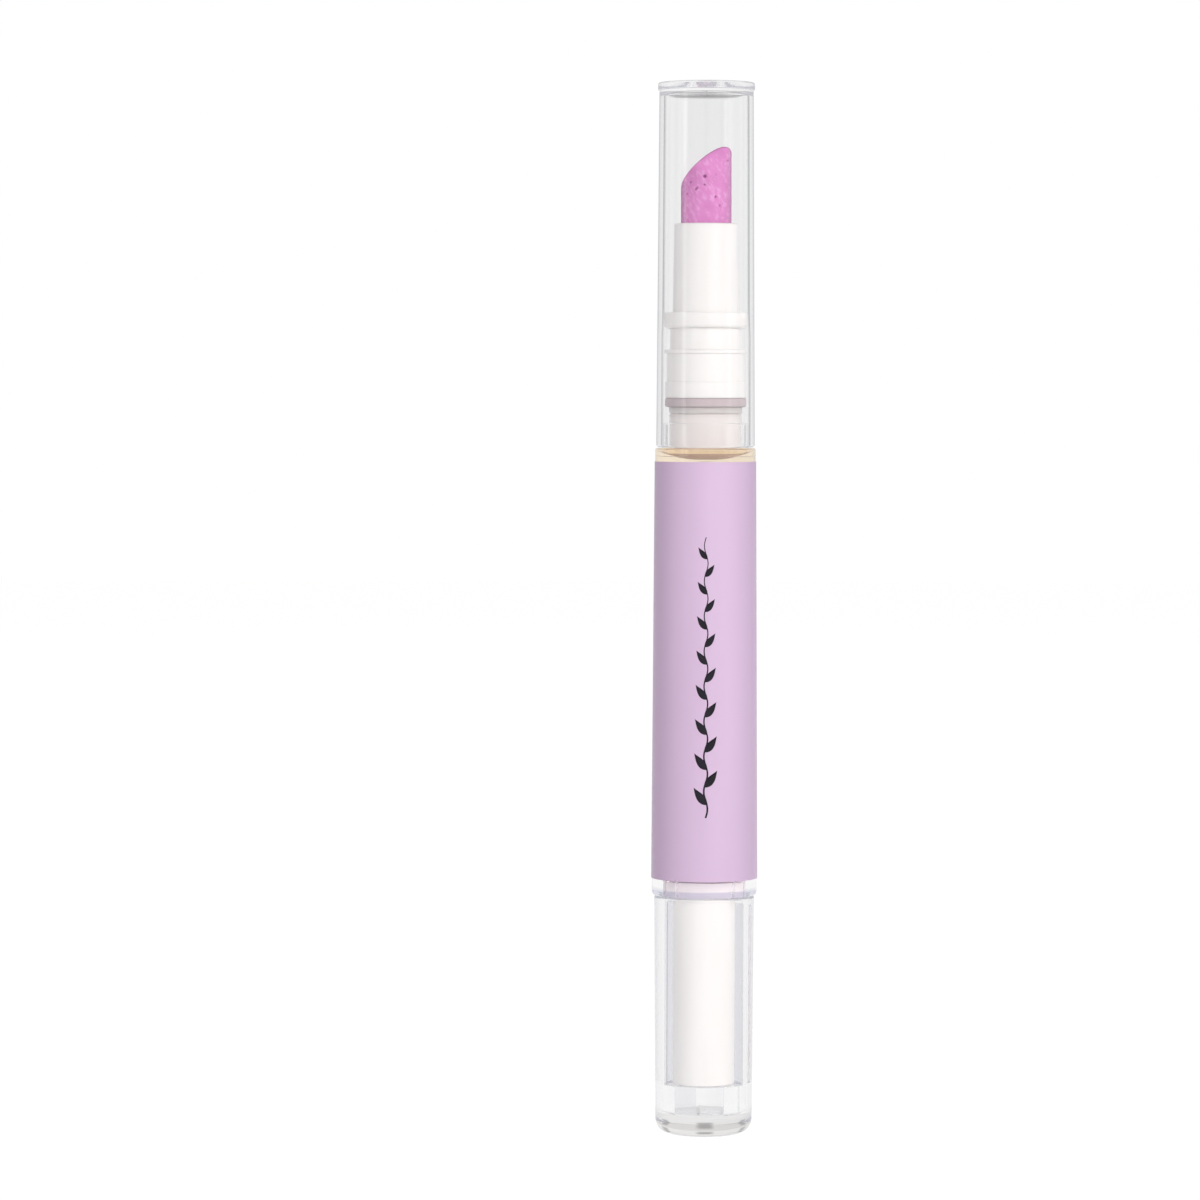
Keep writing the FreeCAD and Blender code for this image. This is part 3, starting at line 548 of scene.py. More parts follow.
def fine_dust() -> Tree:
    """Sparse specks of dust, as a mask: the middles of a few small cells, thinned by slow noise.

    Returns:
        The group, with an output Mask.
    """
    graph, takes, gives = new_group(
        "fine_dust", {"Place": "Vector", "Amount": "Float"}, {"Mask": "Float"}
    )
    place = takes.outputs["Place"]
    cell = graph.add("TexVoronoi", {"Vector": place, "Scale": 900.0})
    speck = graph.spread(cell.outputs["Distance"], 0.04, 0.09, 1.0, 0.0)
    chosen = graph.spread(graph.noise(place, 60.0), 0.5, 0.62)
    mask = graph.times(graph.times(speck, chosen), takes.outputs["Amount"])
    graph.tree.links.new(mask, gives.inputs["Mask"])
    return graph.tree


@dataclass(frozen=True)
class Effects:
    """The node groups that several finishes share."""

    grain: Tree = field(default_factory=moulding_grain)
    wear: Tree = field(default_factory=light_wear)
    dust: Tree = field(default_factory=fine_dust)


@dataclass(frozen=True)
class Finish(ABC):
    """A finish that makes one material.

    Attributes:
        name: The material's name.
        effects: The shared node groups.
    """

    name: str
    effects: Effects

    @cached_property
    def material(self) -> Material:
        """The finish's material, made on first use.

        Returns:
            The material.
        """
        made = bpy.data.materials.new(self.name)
        made.use_nodes = True
        graph = Graph(made.node_tree)
        surface = self.shade(graph, graph.add("TexCoord").outputs["Object"])
        graph.add("OutputMaterial", {"Surface": surface})
        return made

    @abstractmethod
    def shade(self, graph: Graph, place: Socket) -> Socket:
        """Builds the nodes.

        Args:
            graph: The material's graph.
            place: The point on the piece, in metres.

        Returns:
            The shader that covers the piece.
        """

    def grain(self, graph: Graph, place: Value, fine: float, flow: float) -> Node:
        """The moulding grain at those scales."""
        inputs = {"Place": place, "Grain": fine, "Flow": flow}
        return graph.add("Group", inputs, node_tree=self.effects.grain)

    def wear(self, graph: Graph, place: Value, hairlines: float, edges: float) -> Socket:
        """The mask of light wear of those strengths."""
        inputs = {"Place": place, "Hairlines": hairlines, "Edges": edges}
        return graph.add("Group", inputs, node_tree=self.effects.wear).outputs["Mask"]

    def dust(self, graph: Graph, place: Value, amount: float) -> Socket:
        """The mask of dust of that amount."""
        inputs = {"Place": place, "Amount": amount}
        return graph.add("Group", inputs, node_tree=self.effects.dust).outputs["Mask"]

    @staticmethod
    def raised(graph: Graph, height: Value, depth: float) -> Socket:
        """The normal of a surface raised by that height, times a depth in metres."""
        inputs = {"Height": height, "Strength": 1.0, "Distance": depth}
        return graph.add("Bump", inputs).outputs["Normal"]

    @staticmethod
    def cover(graph: Graph, colour: Value, rough: Value, more: dict[str, Value]) -> Socket:
        """The surface's shader, of a colour, a roughness and what else it has."""
        inputs = {"Base Color": colour, "Roughness": rough, **more}
        return graph.add("BsdfPrincipled", inputs).outputs[0]

    @staticmethod
    def see_through(graph: Graph, shader: Socket, passes: Colour, painted_trapped_glow: Colour) -> Socket:
        """Lets the lamps' light and soft bounced light through a clear wall without bending it.

        A ray that was mirrored three times, or has met eight walls, ends in a painted glow of a
        given colour, in place of the light that it would still find.

        Args:
            graph: The material's graph.
            shader: The wall's own shader.
            passes: The colour that it gives to the light it lets through.
            painted_trapped_glow: The colour of the painted glow in which a trapped ray ends.

        Returns:
            The shader that covers the piece.
        """
        path = graph.add("LightPath")
        mirrored = graph.maths("GREATER_THAN", path.outputs["Glossy Depth"], 2.5)
        deep = graph.maths("GREATER_THAN", path.outputs["Ray Depth"], 7.5)
        trapped = graph.maths("MAXIMUM", mirrored, deep)
        # Painted glow: a trapped ray ends in a glow of that colour, not in the light it would still
        # find.
        painted_glow = graph.add("Emission", {"Color": painted_trapped_glow, "Strength": 1.0}).outputs[0]
        clear = graph.add("BsdfTransparent", {"Color": passes}).outputs[0]
        return graph.blend(graph.soft_ray(), graph.blend(trapped, shader, painted_glow), clear)


@dataclass(frozen=True)
class ClearPlastic(Finish):
    """Polished clear plastic with painted shade where its walls are seen edge on.

    Attributes:
        tint: Its colour face on.
        painted_edge_shade: The painted shade that it takes edge on.
        edge_start: From where on, between face on and edge on, the painted shade begins.
        ior: Its refractive index.
        passes: The colour that it gives to soft light.
        painted_shade: The grey of the painted shade on the two rings of faces that follow.
        painted_shade_radii: The radii between which every face takes the painted shade, in
            millimetres.
        shaded: Radii, in millimetres, between which faces that turn away take the painted shade.
        low_end: The height under which the faces take a darker painted shade, in millimetres.
        low_painted_shade: The colour of that painted shade.
        painted_trapped_glow: The colour of the painted glow in which a trapped ray ends; a dark one
            is painted shade.
        dust_tint: The colour of the dust.
    """

    tint: Colour
    painted_edge_shade: Colour = (0.88, 0.88, 0.905)
    edge_start: float = 0.6
    ior: float = 1.49
    passes: Colour = (0.993, 0.993, 0.993)
    painted_shade: Colour = (0.79, 0.795, 0.83)
    painted_shade_radii: tuple[float, float] = (0.0, 0.0)
    shaded: tuple[float, float] = (0.0, 0.0)
    low_end: float = 0.0
    low_painted_shade: Colour = (0.7, 0.7, 0.8)
    painted_trapped_glow: Colour = (0.85, 0.85, 0.88)
    dust_tint: Colour = (0.8, 0.79, 0.78)

    def shade(self, graph: Graph, place: Socket) -> Socket:
        """Clear glass-like plastic with hairlines, dust and a waviness too slow to see as bumps.

        Args:
            graph: The material's graph.
            place: The point on the piece, in metres.

        Returns:
            The shader that covers the piece.
        """
        facing = graph.facing()
        # Painted shade: the tint greys towards painted_edge_shade where the wall turns away from
        # the view.
        edge = graph.spread(facing, self.edge_start, 1.0)
        grain = self.grain(graph, place, fine=900.0, flow=160.0)
        wear = self.wear(graph, place, hairlines=0.5, edges=1.0)
        dust = self.dust(graph, place, amount=0.35)
        tint = graph.mix(edge, self.tint, self.painted_edge_shade)
        # Painted shade on every face between the stained radii.
        if self.painted_shade_radii[1] > 0.0:
            tint = graph.mix(self.between(graph, place, self.painted_shade_radii), tint, self.painted_shade)
        # Painted shade on the faces between the shaded radii that turn away from the view.
        if self.shaded[1] > 0.0:
            aside = graph.spread(facing, 0.02, 0.4)
            share = graph.times(self.between(graph, place, self.shaded), aside)
            tint = graph.mix(share, tint, self.painted_shade)
        # Painted shade: the faces below low_end are darker.
        if self.low_end > 0.0:
            height = graph.add("SeparateXYZ", {0: place}).outputs["Z"]
            under = graph.maths("LESS_THAN", height, self.low_end * MM)
            tint = graph.mix(under, tint, self.low_painted_shade)
        tint = graph.mix(dust, tint, self.dust_tint)
        worn = graph.maths("MAXIMUM", wear, dust)
        rough = graph.spread(worn, 0.0, 1.0, to_low=0.01, to_high=0.14)
        normal = self.raised(graph, grain.outputs["Height"], depth=0.0000015)
        more = {"IOR": self.ior, "Transmission Weight": 1.0, "Normal": normal}
        shader = self.cover(graph, tint, rough, more)
        return self.see_through(graph, shader, self.passes, self.painted_trapped_glow)

    @staticmethod
    def between(graph: Graph, place: Socket, radii: tuple[float, float]) -> Socket:
        """Whether the distance from the axis lies between two radii.

        Args:
            graph: The material's graph.
            place: The point on the piece, in metres.
            radii: The inner and the outer radius, in millimetres.

        Returns:
            A mask of 0 or 1.
        """
        flat = graph.stretch(place, (1.0, 1.0, 0.0))
        away = graph.add("VectorMath", {0: flat}, operation="LENGTH").outputs["Value"]
        beyond = graph.maths("GREATER_THAN", away, radii[0] * MM)
        return graph.times(beyond, graph.maths("LESS_THAN", away, radii[1] * MM))


@dataclass(frozen=True)
class Oil(Finish):
    """Clear amber oil."""

    tint: Colour = (1.0, 0.87, 0.68)
    deep_tint: Colour = (0.99, 0.84, 0.64)
    ior: float = 1.47
    passes: Colour = (0.97, 0.9, 0.78)
    # The painted glow in which a trapped ray ends, in place of the light that it would still find.
    painted_trapped_glow: Colour = (0.95, 0.95, 0.95)

    def shade(self, graph: Graph, place: Socket) -> Socket:
        """Clear liquid, a little deeper in slow clouds.

        Args:
            graph: The material's graph.
            place: The point on the piece, in metres.

        Returns:
            The shader that covers the piece.
        """
        cloud = graph.spread(graph.noise(place, 180.0, 2.0), 0.35, 0.7)
        tint = graph.mix(cloud, self.tint, self.deep_tint)
        shader = self.cover(graph, tint, 0.0, {"IOR": self.ior, "Transmission Weight": 1.0})
        return self.see_through(graph, shader, self.passes, self.painted_trapped_glow)


@dataclass(frozen=True)
class Moulded(Finish):
    """Opaque moulded plastic with a soft sheen."""

    colour: Colour
    flow_colour: Colour
    roughness: float = 0.34
    scatter: float = 0.12
    dust_colour: Colour = (0.7, 0.68, 0.66)

    def shade(self, graph: Graph, place: Socket) -> Socket:
        """Moulded plastic with grain, flow marks, rubbed edges and a little dust.

        Args:
            graph: The material's graph.
            place: The point on the piece, in metres.

        Returns:
            The shader that covers the piece.
        """
        grain = self.grain(graph, place, fine=5200.0, flow=420.0)
        wear = self.wear(graph, place, hairlines=0.35, edges=0.8)
        dust = self.dust(graph, place, amount=0.5)
        colour = graph.mix(grain.outputs["Mottle"], self.colour, self.flow_colour)
        colour = graph.mix(dust, colour, self.dust_colour)
        worn = graph.maths("MAXIMUM", wear, dust)
        rough = graph.spread(worn, 0.0, 1.0, self.roughness - 0.05, self.roughness + 0.18)
        more = {
            "Subsurface Weight": self.scatter,
            "Subsurface Radius": (1.0, 0.9, 0.8),
            "Subsurface Scale": 0.0006,
            "Normal": self.raised(graph, grain.outputs["Height"], depth=0.00001),
        }
        return self.cover(graph, colour, rough, more)


@dataclass(frozen=True)
class Milky(Finish):
    """Translucent milky plastic."""

    colour: Colour = (0.95, 0.87, 0.84)
    painted_edge_shade_and_mottle: Colour = (0.87, 0.78, 0.75)
    scatter: float = 0.9

    def shade(self, graph: Graph, place: Socket) -> Socket:
        """Translucent plastic with cloudy flow marks, and painted shade where it turns away.

        Args:
            graph: The material's graph.
            place: The point on the piece, in metres.

        Returns:
            The shader that covers the piece.
        """
        grain = self.grain(graph, place, fine=3000.0, flow=500.0)
        # Painted shade: the colour deepens towards painted_edge_shade_and_mottle where the surface
        # turns away from the view.
        colour = graph.mix(graph.spread(graph.facing(), 0.6, 1.0), self.colour, self.painted_edge_shade_and_mottle)
        cloud = graph.times(grain.outputs["Mottle"], 0.25)
        colour = graph.mix(cloud, colour, self.painted_edge_shade_and_mottle)
        wear = self.wear(graph, place, hairlines=0.3, edges=0.6)
        rough = graph.spread(wear, 0.0, 1.0, to_low=0.3, to_high=0.5)
        more = {
            "IOR": 1.5,
            "Subsurface Weight": self.scatter,
            "Subsurface Radius": (1.0, 1.0, 1.0),
            "Subsurface Scale": 0.0025,
            "Normal": self.raised(graph, grain.outputs["Height"], depth=0.000012),
        }
        return self.cover(graph, colour, rough, more)


@dataclass(frozen=True)
class Film(Finish):
    """Satin printed film."""

    colour: Colour = (0.64, 0.48, 0.665)
    painted_edge_shade_and_mottle: Colour = (0.52, 0.38, 0.55)
    glow: Colour = (0.95, 0.84, 0.93)
    thinness: float = 0.7

    def shade(self, graph: Graph, place: Socket) -> Socket:
        """Satin film with a fine tooth, slow ripples and painted shade where it turns away.

        It is thin enough that some of the lamps' light comes through to what it wraps.

        Args:
            graph: The material's graph.
            place: The point on the piece, in metres.

        Returns:
            The shader that covers the piece.
        """
        grain = self.grain(graph, place, fine=9000.0, flow=300.0)
        # Painted shade: the film deepens towards painted_edge_shade_and_mottle where it turns away
        # from the view.
        colour = graph.mix(graph.spread(graph.facing(), 0.1, 0.7), self.colour, self.painted_edge_shade_and_mottle)
        ripple = graph.times(grain.outputs["Mottle"], 0.12)
        colour = graph.mix(ripple, colour, self.painted_edge_shade_and_mottle)
        wear = self.wear(graph, place, hairlines=0.4, edges=0.5)
        worn = graph.maths("MAXIMUM", wear, self.dust(graph, place, amount=0.4))
        rough = graph.spread(worn, 0.0, 1.0, to_low=0.36, to_high=0.55)
        normal = self.raised(graph, grain.outputs["Height"], depth=0.000006)
        shader = self.cover(graph, colour, rough, {"Normal": normal})
        through = graph.add("BsdfTransparent", {"Color": self.glow}).outputs[0]
        return graph.blend(graph.times(graph.soft_ray(), self.thinness), shader, through)


@dataclass(frozen=True)
class SoftTip(Finish):
    """Soft pink pusher, finely pitted and unevenly dyed.

    Attributes:
        colour: The dye's own colour.
        pale: The blotches' colour.
        deep: The colour of the deeper dye clouds, and of the painted shade in pores, pits and
            edges.
        blotch_share: How strong the pale blotches are.
        cloud_share: How strong the slow deeper clouds are.
        pore_share: How deep the small pores are, and how dark their painted shade is.
        pit_share: How dark the painted shade in the mesh's pits is.
        edge_shade_share: How dark the painted shade is where the surface turns away.
    """

    colour: Colour = (0.74, 0.26, 0.6)
    pale: Colour = (0.88, 0.5, 0.8)
    deep: Colour = (0.36, 0.08, 0.28)
    blotch_share: float = 0.45
    cloud_share: float = 0.25
    pore_share: float = 0.8
    pit_share: float = 0.9
    edge_shade_share: float = 0.75

    def shade(self, graph: Graph, place: Socket) -> Socket:
        """Soft rubber: pale blotches, a few deep pores with painted shade, and a fine tooth.

        The pits that are sunk into the mesh take painted shade, by its attribute of how deep they
        are, and so does the surface where it turns away.

        Args:
            graph: The material's graph.
            place: The point on the piece, in metres.

        Returns:
            The shader that covers the piece.
        """
        drawn = graph.stretch(graph.slant(place, 0.7), (1.0, 1.0, 0.4))
        blotch = graph.spread(graph.noise(drawn, 3200.0, 6.0), 0.48, 0.66)
        cloud = graph.spread(graph.noise(place, 300.0, 2.0), 0.4, 0.7)
        cell = graph.add("TexVoronoi", {"Vector": place, "Scale": 1100.0}).outputs["Distance"]
        # Painted shade in the small pores, which also sink as bumps.
        hollow = graph.spread(cell, 0.08, 0.2, to_low=1.0, to_high=0.0)
        pore = graph.times(hollow, graph.spread(graph.noise(place, 700.0), 0.5, 0.56))
        pore = graph.times(pore, self.pore_share)
        # Painted shade in the pits sunk into the mesh, and where the surface turns away.
        pit_shade = graph.add("Attribute", attribute_name=SUNK).outputs["Fac"]
        pit_shade = graph.times(graph.spread(pit_shade, 0.05, 0.2), self.pit_share)
        edge = graph.times(graph.spread(graph.facing(), 0.35, 0.95), self.edge_shade_share)
        colour = graph.mix(graph.times(blotch, self.blotch_share), self.colour, self.pale)
        for share in (graph.times(cloud, self.cloud_share), pore, pit_shade, edge):
            colour = graph.mix(share, colour, self.deep)
        grain = self.grain(graph, place, fine=2600.0, flow=1500.0)
        height = graph.maths("SUBTRACT", grain.outputs["Height"], pore)
        rough = graph.spread(blotch, 0.0, 1.0, to_low=0.52, to_high=0.4)
        more = {
            "Subsurface Weight": 0.2,
            "Subsurface Radius": (1.0, 0.45, 0.7),
            "Subsurface Scale": 0.0008,
            "Normal": self.raised(graph, height, depth=0.00016),
        }
        return self.cover(graph, colour, rough, more)


@dataclass(frozen=True)
class Ink(Finish):
    """Black printed ink."""

    colour: Colour = (0.012, 0.011, 0.016)
    thin_colour: Colour = (0.02, 0.018, 0.026)

    def shade(self, graph: Graph, place: Socket) -> Socket:
        """Ink with a slightly uneven sheen and colour.

        Args:
            graph: The material's graph.
            place: The point on the piece, in metres.

        Returns:
            The shader that covers the piece.
        """
        grain = self.grain(graph, place, fine=8000.0, flow=900.0)
        colour = graph.mix(grain.outputs["Mottle"], self.colour, self.thin_colour)
        rough = graph.spread(grain.outputs["Height"], 0.2, 0.8, to_low=0.35, to_high=0.5)
        return self.cover(graph, colour, rough, {"Specular IOR Level": 0.2})


class Finishes:
    """Every finish of the pen."""

    def __init__(self, effects: Effects) -> None:
        """Makes each finish.

        Args:
            effects: The node groups that they share.
        """
        self.cap = ClearPlastic(
            "clear_cap_plastic",
            effects,
            tint=(0.965, 0.965, 0.967),
            painted_edge_shade=(0.945, 0.945, 0.955),
            # A dark painted glow for trapped rays, as painted shade.
            painted_trapped_glow=(0.55, 0.55, 0.6),
        )
        # The barrel is darker below 29.5 mm, as painted shade.
        self.barrel = ClearPlastic(
            "clear_barrel_plastic", effects, tint=(0.985, 0.985, 0.985), low_end=29.5
        )
        # The knob's painted shade: dark edges, greyer rib and pocket faces, and a darker foot.
        self.knob = ClearPlastic(
            "clear_knob_plastic",
            effects,
            tint=(0.985, 0.985, 0.987),
            painted_edge_shade=(0.66, 0.66, 0.7),
            edge_start=0.3,
            low_end=1.75,
            low_painted_shade=(0.74, 0.725, 0.715),
            painted_shade_radii=(3.55, 4.7),
            shaded=(2.9, 3.55),
            painted_trapped_glow=(0.5, 0.5, 0.56),
        )
        self.oil = Oil("clear_amber_oil", effects)
        self.white = Moulded(
            "satin_white_plastic",
            effects,
            colour=(0.95, 0.945, 0.93),
            flow_colour=(0.92, 0.907, 0.89),
        )
        self.natural = Moulded(
            "matt_natural_plastic",
            effects,
            colour=(0.93, 0.88, 0.91),
            flow_colour=(0.89, 0.84, 0.87),
            roughness=0.42,
            scatter=0.3,
        )
        self.seal = Moulded(
            "dull_seal_rubber",
            effects,
            colour=(0.6, 0.52, 0.54),
            flow_colour=(0.54, 0.47, 0.49),
            roughness=0.6,
            scatter=0.0,
        )
        self.milky = Milky("cloudy_milky_plastic", effects)
        self.film = Film("satin_lavender_film", effects)
        self.tip = SoftTip("pitted_pink_rubber", effects)
        self.ink = Ink("label_ink", effects)


# Pieces


@dataclass
class Assembly(ABC):
    """A sub-assembly of the pen, which builds its pieces and dresses them.

    The sizes that each one holds are in millimetres, and its angles in degrees.

    Attributes:
        finishes: The pen's finishes.
    """

    finishes: Finishes

    @abstractmethod
    def build(self) -> list[Piece]:
        """Builds the pieces and returns them."""

    @staticmethod
    def place(
        piece: Piece, finish: Finish, slot: Slot | None, body: Body, node: str | None = None
    ) -> Piece:
        """Dresses a piece and ties it to its body.

        Args:
            piece: The piece.
            finish: What covers it.
            slot: The record's slot for the piece, if it has one. It is not used.
            body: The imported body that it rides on.
            node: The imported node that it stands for, if any.

        Returns:
            The piece.
        """
        piece.data.materials.append(finish.material)
        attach(piece, body.value)
        if node is not None:
            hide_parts(node)
        return piece

    @staticmethod
    def dress(node: str, finish: Finish) -> Piece:
        """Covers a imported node's own mesh with a finish.

        Args:
            node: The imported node's name.
            finish: What covers it.

        Returns:
            The node's own piece.
        """
        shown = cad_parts[node]
        shown.data.materials.clear()
        shown.data.materials.append(finish.material)
        return shown


@dataclass
class Cap(Assembly):
    """The clear cap: a rimmed crown, a drafted bore and a wider socket over the pen's neck."""

    mouth_radius: float = 5.9
    crown_radius: float = 5.62
    rim_radius: float = 5.78
    rim_height: float = 0.9
    rim_round: float = 0.24
    ceiling: float = 1.2
    ceiling_round: float = 0.5
    socket_radius: float = 5.25
    socket_depth: float = 13.6
    step_ramp: float = 3.0
    step_round: float = 20.0
    bore_radius: float = 5.08
    bore_end_radius: float = 4.98
    mouth_round: float = 0.3
    gate_radius: float = 0.6
    gate_depth: float = 0.1

    def build(self) -> list[Piece]:
        """Builds the cap's one piece.

        Returns:
            The pieces.
        """
        span = Span.of("cap")
        ceiling = span.high - self.ceiling
        step = span.low + self.socket_depth
        gate = span.high - self.gate_depth
        corners = [
            Corner(0.0, ceiling),
            Corner(self.bore_end_radius, ceiling, self.ceiling_round),
            Corner(self.bore_radius, step + self.step_ramp, self.step_round),
            Corner(self.socket_radius, step, self.step_round),
            Corner(self.socket_radius, span.low, self.mouth_round),
            Corner(self.mouth_radius, span.low, self.mouth_round),
            Corner(self.crown_radius, span.high - self.rim_height, 0.1),
            Corner(self.rim_radius, span.high - self.rim_height, 0.1),
            Corner(self.rim_radius, span.high, self.rim_round),
            Corner(self.gate_radius, span.high, 0.06),
            Corner(self.gate_radius, gate, 0.06),
            Corner(0.0, gate),
        ]
        piece = lathe("cap_shell", corners, Ends.POLES)
        return [self.place(piece, self.finishes.cap, Slot.CLEAR, Body.CAP, "cap")]


@dataclass
class Applicator(Assembly):
    """The white tapered holder, the slanted soft tip and the feed tube that ends in it."""

    flange_radius: float = 5.0
    flange_height: float = 1.85
    flange_round: float = 0.5
    base_radius: float = 3.98
    mouth_radius: float = 3.81
    mouth_round: float = 0.22
    socket_radius: float = 2.87
    socket_depth: float = 4.22
    tip_radius: float = 3.03
    tip_gap: float = 0.02
    tube_radius: float = 0.8
    tube_bore: float = 0.45
    tube_inset: float = 0.05
    tube_columns: int = 48
    bevel: float = 43.4
    bevel_turn: float = -34.0
    tip_round: float = 0.42
    tip_foot_edge: float = 0.1
    outlet_radius: float = 0.5
    tip_reach: float = 9.65
    tip_columns: int = 240
    tip_side_rows: int = 130
    tip_edge_rows: int = 9
    tip_face_rows: int = 22
    tip_smooth_to: float = 50.0
    large_pits: tuple[tuple[float, float, float, float], ...] = (
        (-4.8, 3.55, 0.18, 0.42),
        (20.4, 6.0, 0.14, 0.25),
        (31.7, 7.0, 0.13, 0.22),
    )
    small_pits: int = 34
    pitted_from: float = 0.93
    unevenness: float = 0.012

    def build(self) -> list[Piece]:
        """Builds the holder, the tip and the tube.

        Returns:
            The pieces.
        """
        white, soft = self.finishes.white, self.finishes.tip
        return [
            self.place(self.holder(), white, Slot.WHITE, Body.PEN, "tip_holder"),
            self.place(self.tip(), soft, Slot.TIP, Body.PEN, "pusher_tip"),
            self.place(self.tube(), self.finishes.natural, Slot.NATURAL, Body.PEN, "feed_tube"),
        ]

    def holder(self) -> Piece:
        """The holder: a flanged, tapered tube with a socket at each end.

        Returns:
            The piece.
        """
        span, seat = Span.of("tip_holder"), Span.of("pusher_tip").low
        hole = self.tube_radius + self.tip_gap
        socket = self.tip_radius + self.tip_gap
        flange_top = span.low + self.flange_height
        socket_end = span.low + self.socket_depth
        corners = [
            Corner(self.socket_radius, span.low, 0.08),
            Corner(self.flange_radius, span.low, self.flange_round),
            Corner(self.flange_radius, flange_top, 0.12),
            Corner(self.base_radius, flange_top, 0.08),
            Corner(self.mouth_radius, span.high, self.mouth_round),
            Corner(socket, span.high, 0.12),
            Corner(socket, seat),
            Corner(hole, seat),
            Corner(hole, socket_end),
            Corner(self.socket_radius, socket_end),
        ]
        return lathe("tip_holder_sleeve", corners, Ends.LOOP)

    def tube(self) -> Piece:
        """The fine tube that carries the oil from the plug's domed end into the tip.

        Returns:
            The piece.
        """
        span = Span.of("feed_tube")
        low = Span.of("neck_plug").low + self.tube_inset
        corners = [
            Corner(self.tube_bore, low),
            Corner(self.tube_radius, low),
            Corner(self.tube_radius, span.high),
            Corner(self.tube_bore, span.high),
        ]
        return lathe("oil_feed_tube", corners, Ends.LOOP, self.tube_columns)

    def tip(self) -> Piece:
        """The soft tip: a round bar cut on a slant, with a soft edge, pits and a fine outlet.

        At each angle the slant is a straight line whose slope is the cosine of the angle from the
        high side, times the bevel's own slope. The edge is an arc that touches that line and the
        upright side. The side then sinks at each pit by a bell curve of the distance to it.

        Returns:
            The piece.
        """
        angles = even_turn(self.tip_columns)
        flat = np.ones((1, self.tip_columns))
        seat = Span.of("pusher_tip").low * flat
        end = (Span.of("feed_tube").high + self.tip_gap) * flat
        hole = (self.tube_radius + self.tip_gap) * flat
        outlet = self.outlet_radius * flat
        foot = (self.tip_radius - self.tip_foot_edge) * flat

        apex = Span.of("tip_holder").high + self.tip_reach
        steep = math.tan(math.radians(self.bevel))
        slope = steep * np.cos(angles - math.radians(self.bevel_turn))
        rim_height = apex - self.tip_radius * steep + slope * self.tip_radius
        turn = np.arccos(-slope / np.sqrt(1 + slope**2))
        reach = self.tip_round * np.tan(turn / 2)
        swing = np.linspace(0.0, 1.0, self.tip_edge_rows)[:, None] * turn[None, :]
        edge_radii = self.tip_radius - self.tip_round * (1 - np.cos(swing))
        edge_heights = rim_height - reach + self.tip_round * np.sin(swing)

        share = np.linspace(0.0, 1.0, self.tip_face_rows)[1:, None]
        face_radii = edge_radii[-1] + share * (outlet - edge_radii[-1])
        face_heights = edge_heights[-1] - slope * (edge_radii[-1] - face_radii)
        share = np.linspace(0.0, 1.0, self.tip_side_rows)[:-1, None]
        start = seat + self.tip_foot_edge
        side_heights = start + share * (edge_heights[0] - start)
        side_radii = np.full_like(side_heights, self.tip_radius)

        radii = np.vstack((hole, foot, side_radii, edge_radii, face_radii, outlet, hole))
        heights = np.vstack((seat, seat, side_heights, edge_heights, face_heights, end, end))
        radii, sunk = self.pitted(radii, heights, angles)
        grid = around_axis(radii, heights, angles)
        piece = skin("soft_pusher_tip", grid, Ends.LOOP, self.tip_smooth_to)
        piece.data.attributes.new(SUNK, "FLOAT", "POINT").data.foreach_set("value", sunk.ravel())
        return piece

    def pitted(self, radii: Array, heights: Array, angles: Array) -> tuple[Array, Array]:
        """Sinks pits into the side by bell curves and makes it slightly uneven by crossed waves.

        A pit has its angle from the front in degrees, its height, its width and its depth. The
        large ones are placed, by how far they lie below the top, and the small ones are drawn.

        Args:
            radii: The tip's radii, (rows, columns).
            heights: The tip's heights, (rows, columns).
            angles: The columns' angles.

        Returns:
            The new radii and how far each point is sunk. Only points close to the full radius move.
        """
        draw = np.random.default_rng(SEED)
        low, top = Span.of("tip_holder").high, heights.max()
        placed = np.array(self.large_pits)
        placed[:, 1] = top - placed[:, 1]
        ranges = ((0.0, 360.0), (low, top), (0.07, 0.14), (0.02, 0.06))
        drawn = [draw.uniform(least, most, self.small_pits) for least, most in ranges]
        pits = np.vstack((placed, np.stack(drawn, axis=1)))
        turn = np.radians(pits[:, 0]) + FRONT
        apart = np.angle(np.exp(1j * (angles[None, :] - turn[:, None]))) * self.tip_radius
        start = self.pitted_from * self.tip_radius
        side = np.clip((radii - start) / (self.tip_radius - start), 0.0, 1.0)
        sunk = np.zeros_like(radii)
        for across, (_, height, width, depth) in zip(apart, pits):
            away = (across[None, :] ** 2 + (heights - height) ** 2) / width**2
            sunk += depth * np.exp(-away)
        waves = np.sin(5 * angles[None, :] + 1.9 * heights) * np.sin(1.3 * heights)
        return radii - side * (sunk + self.unevenness * (1 + waves)), side * sunk


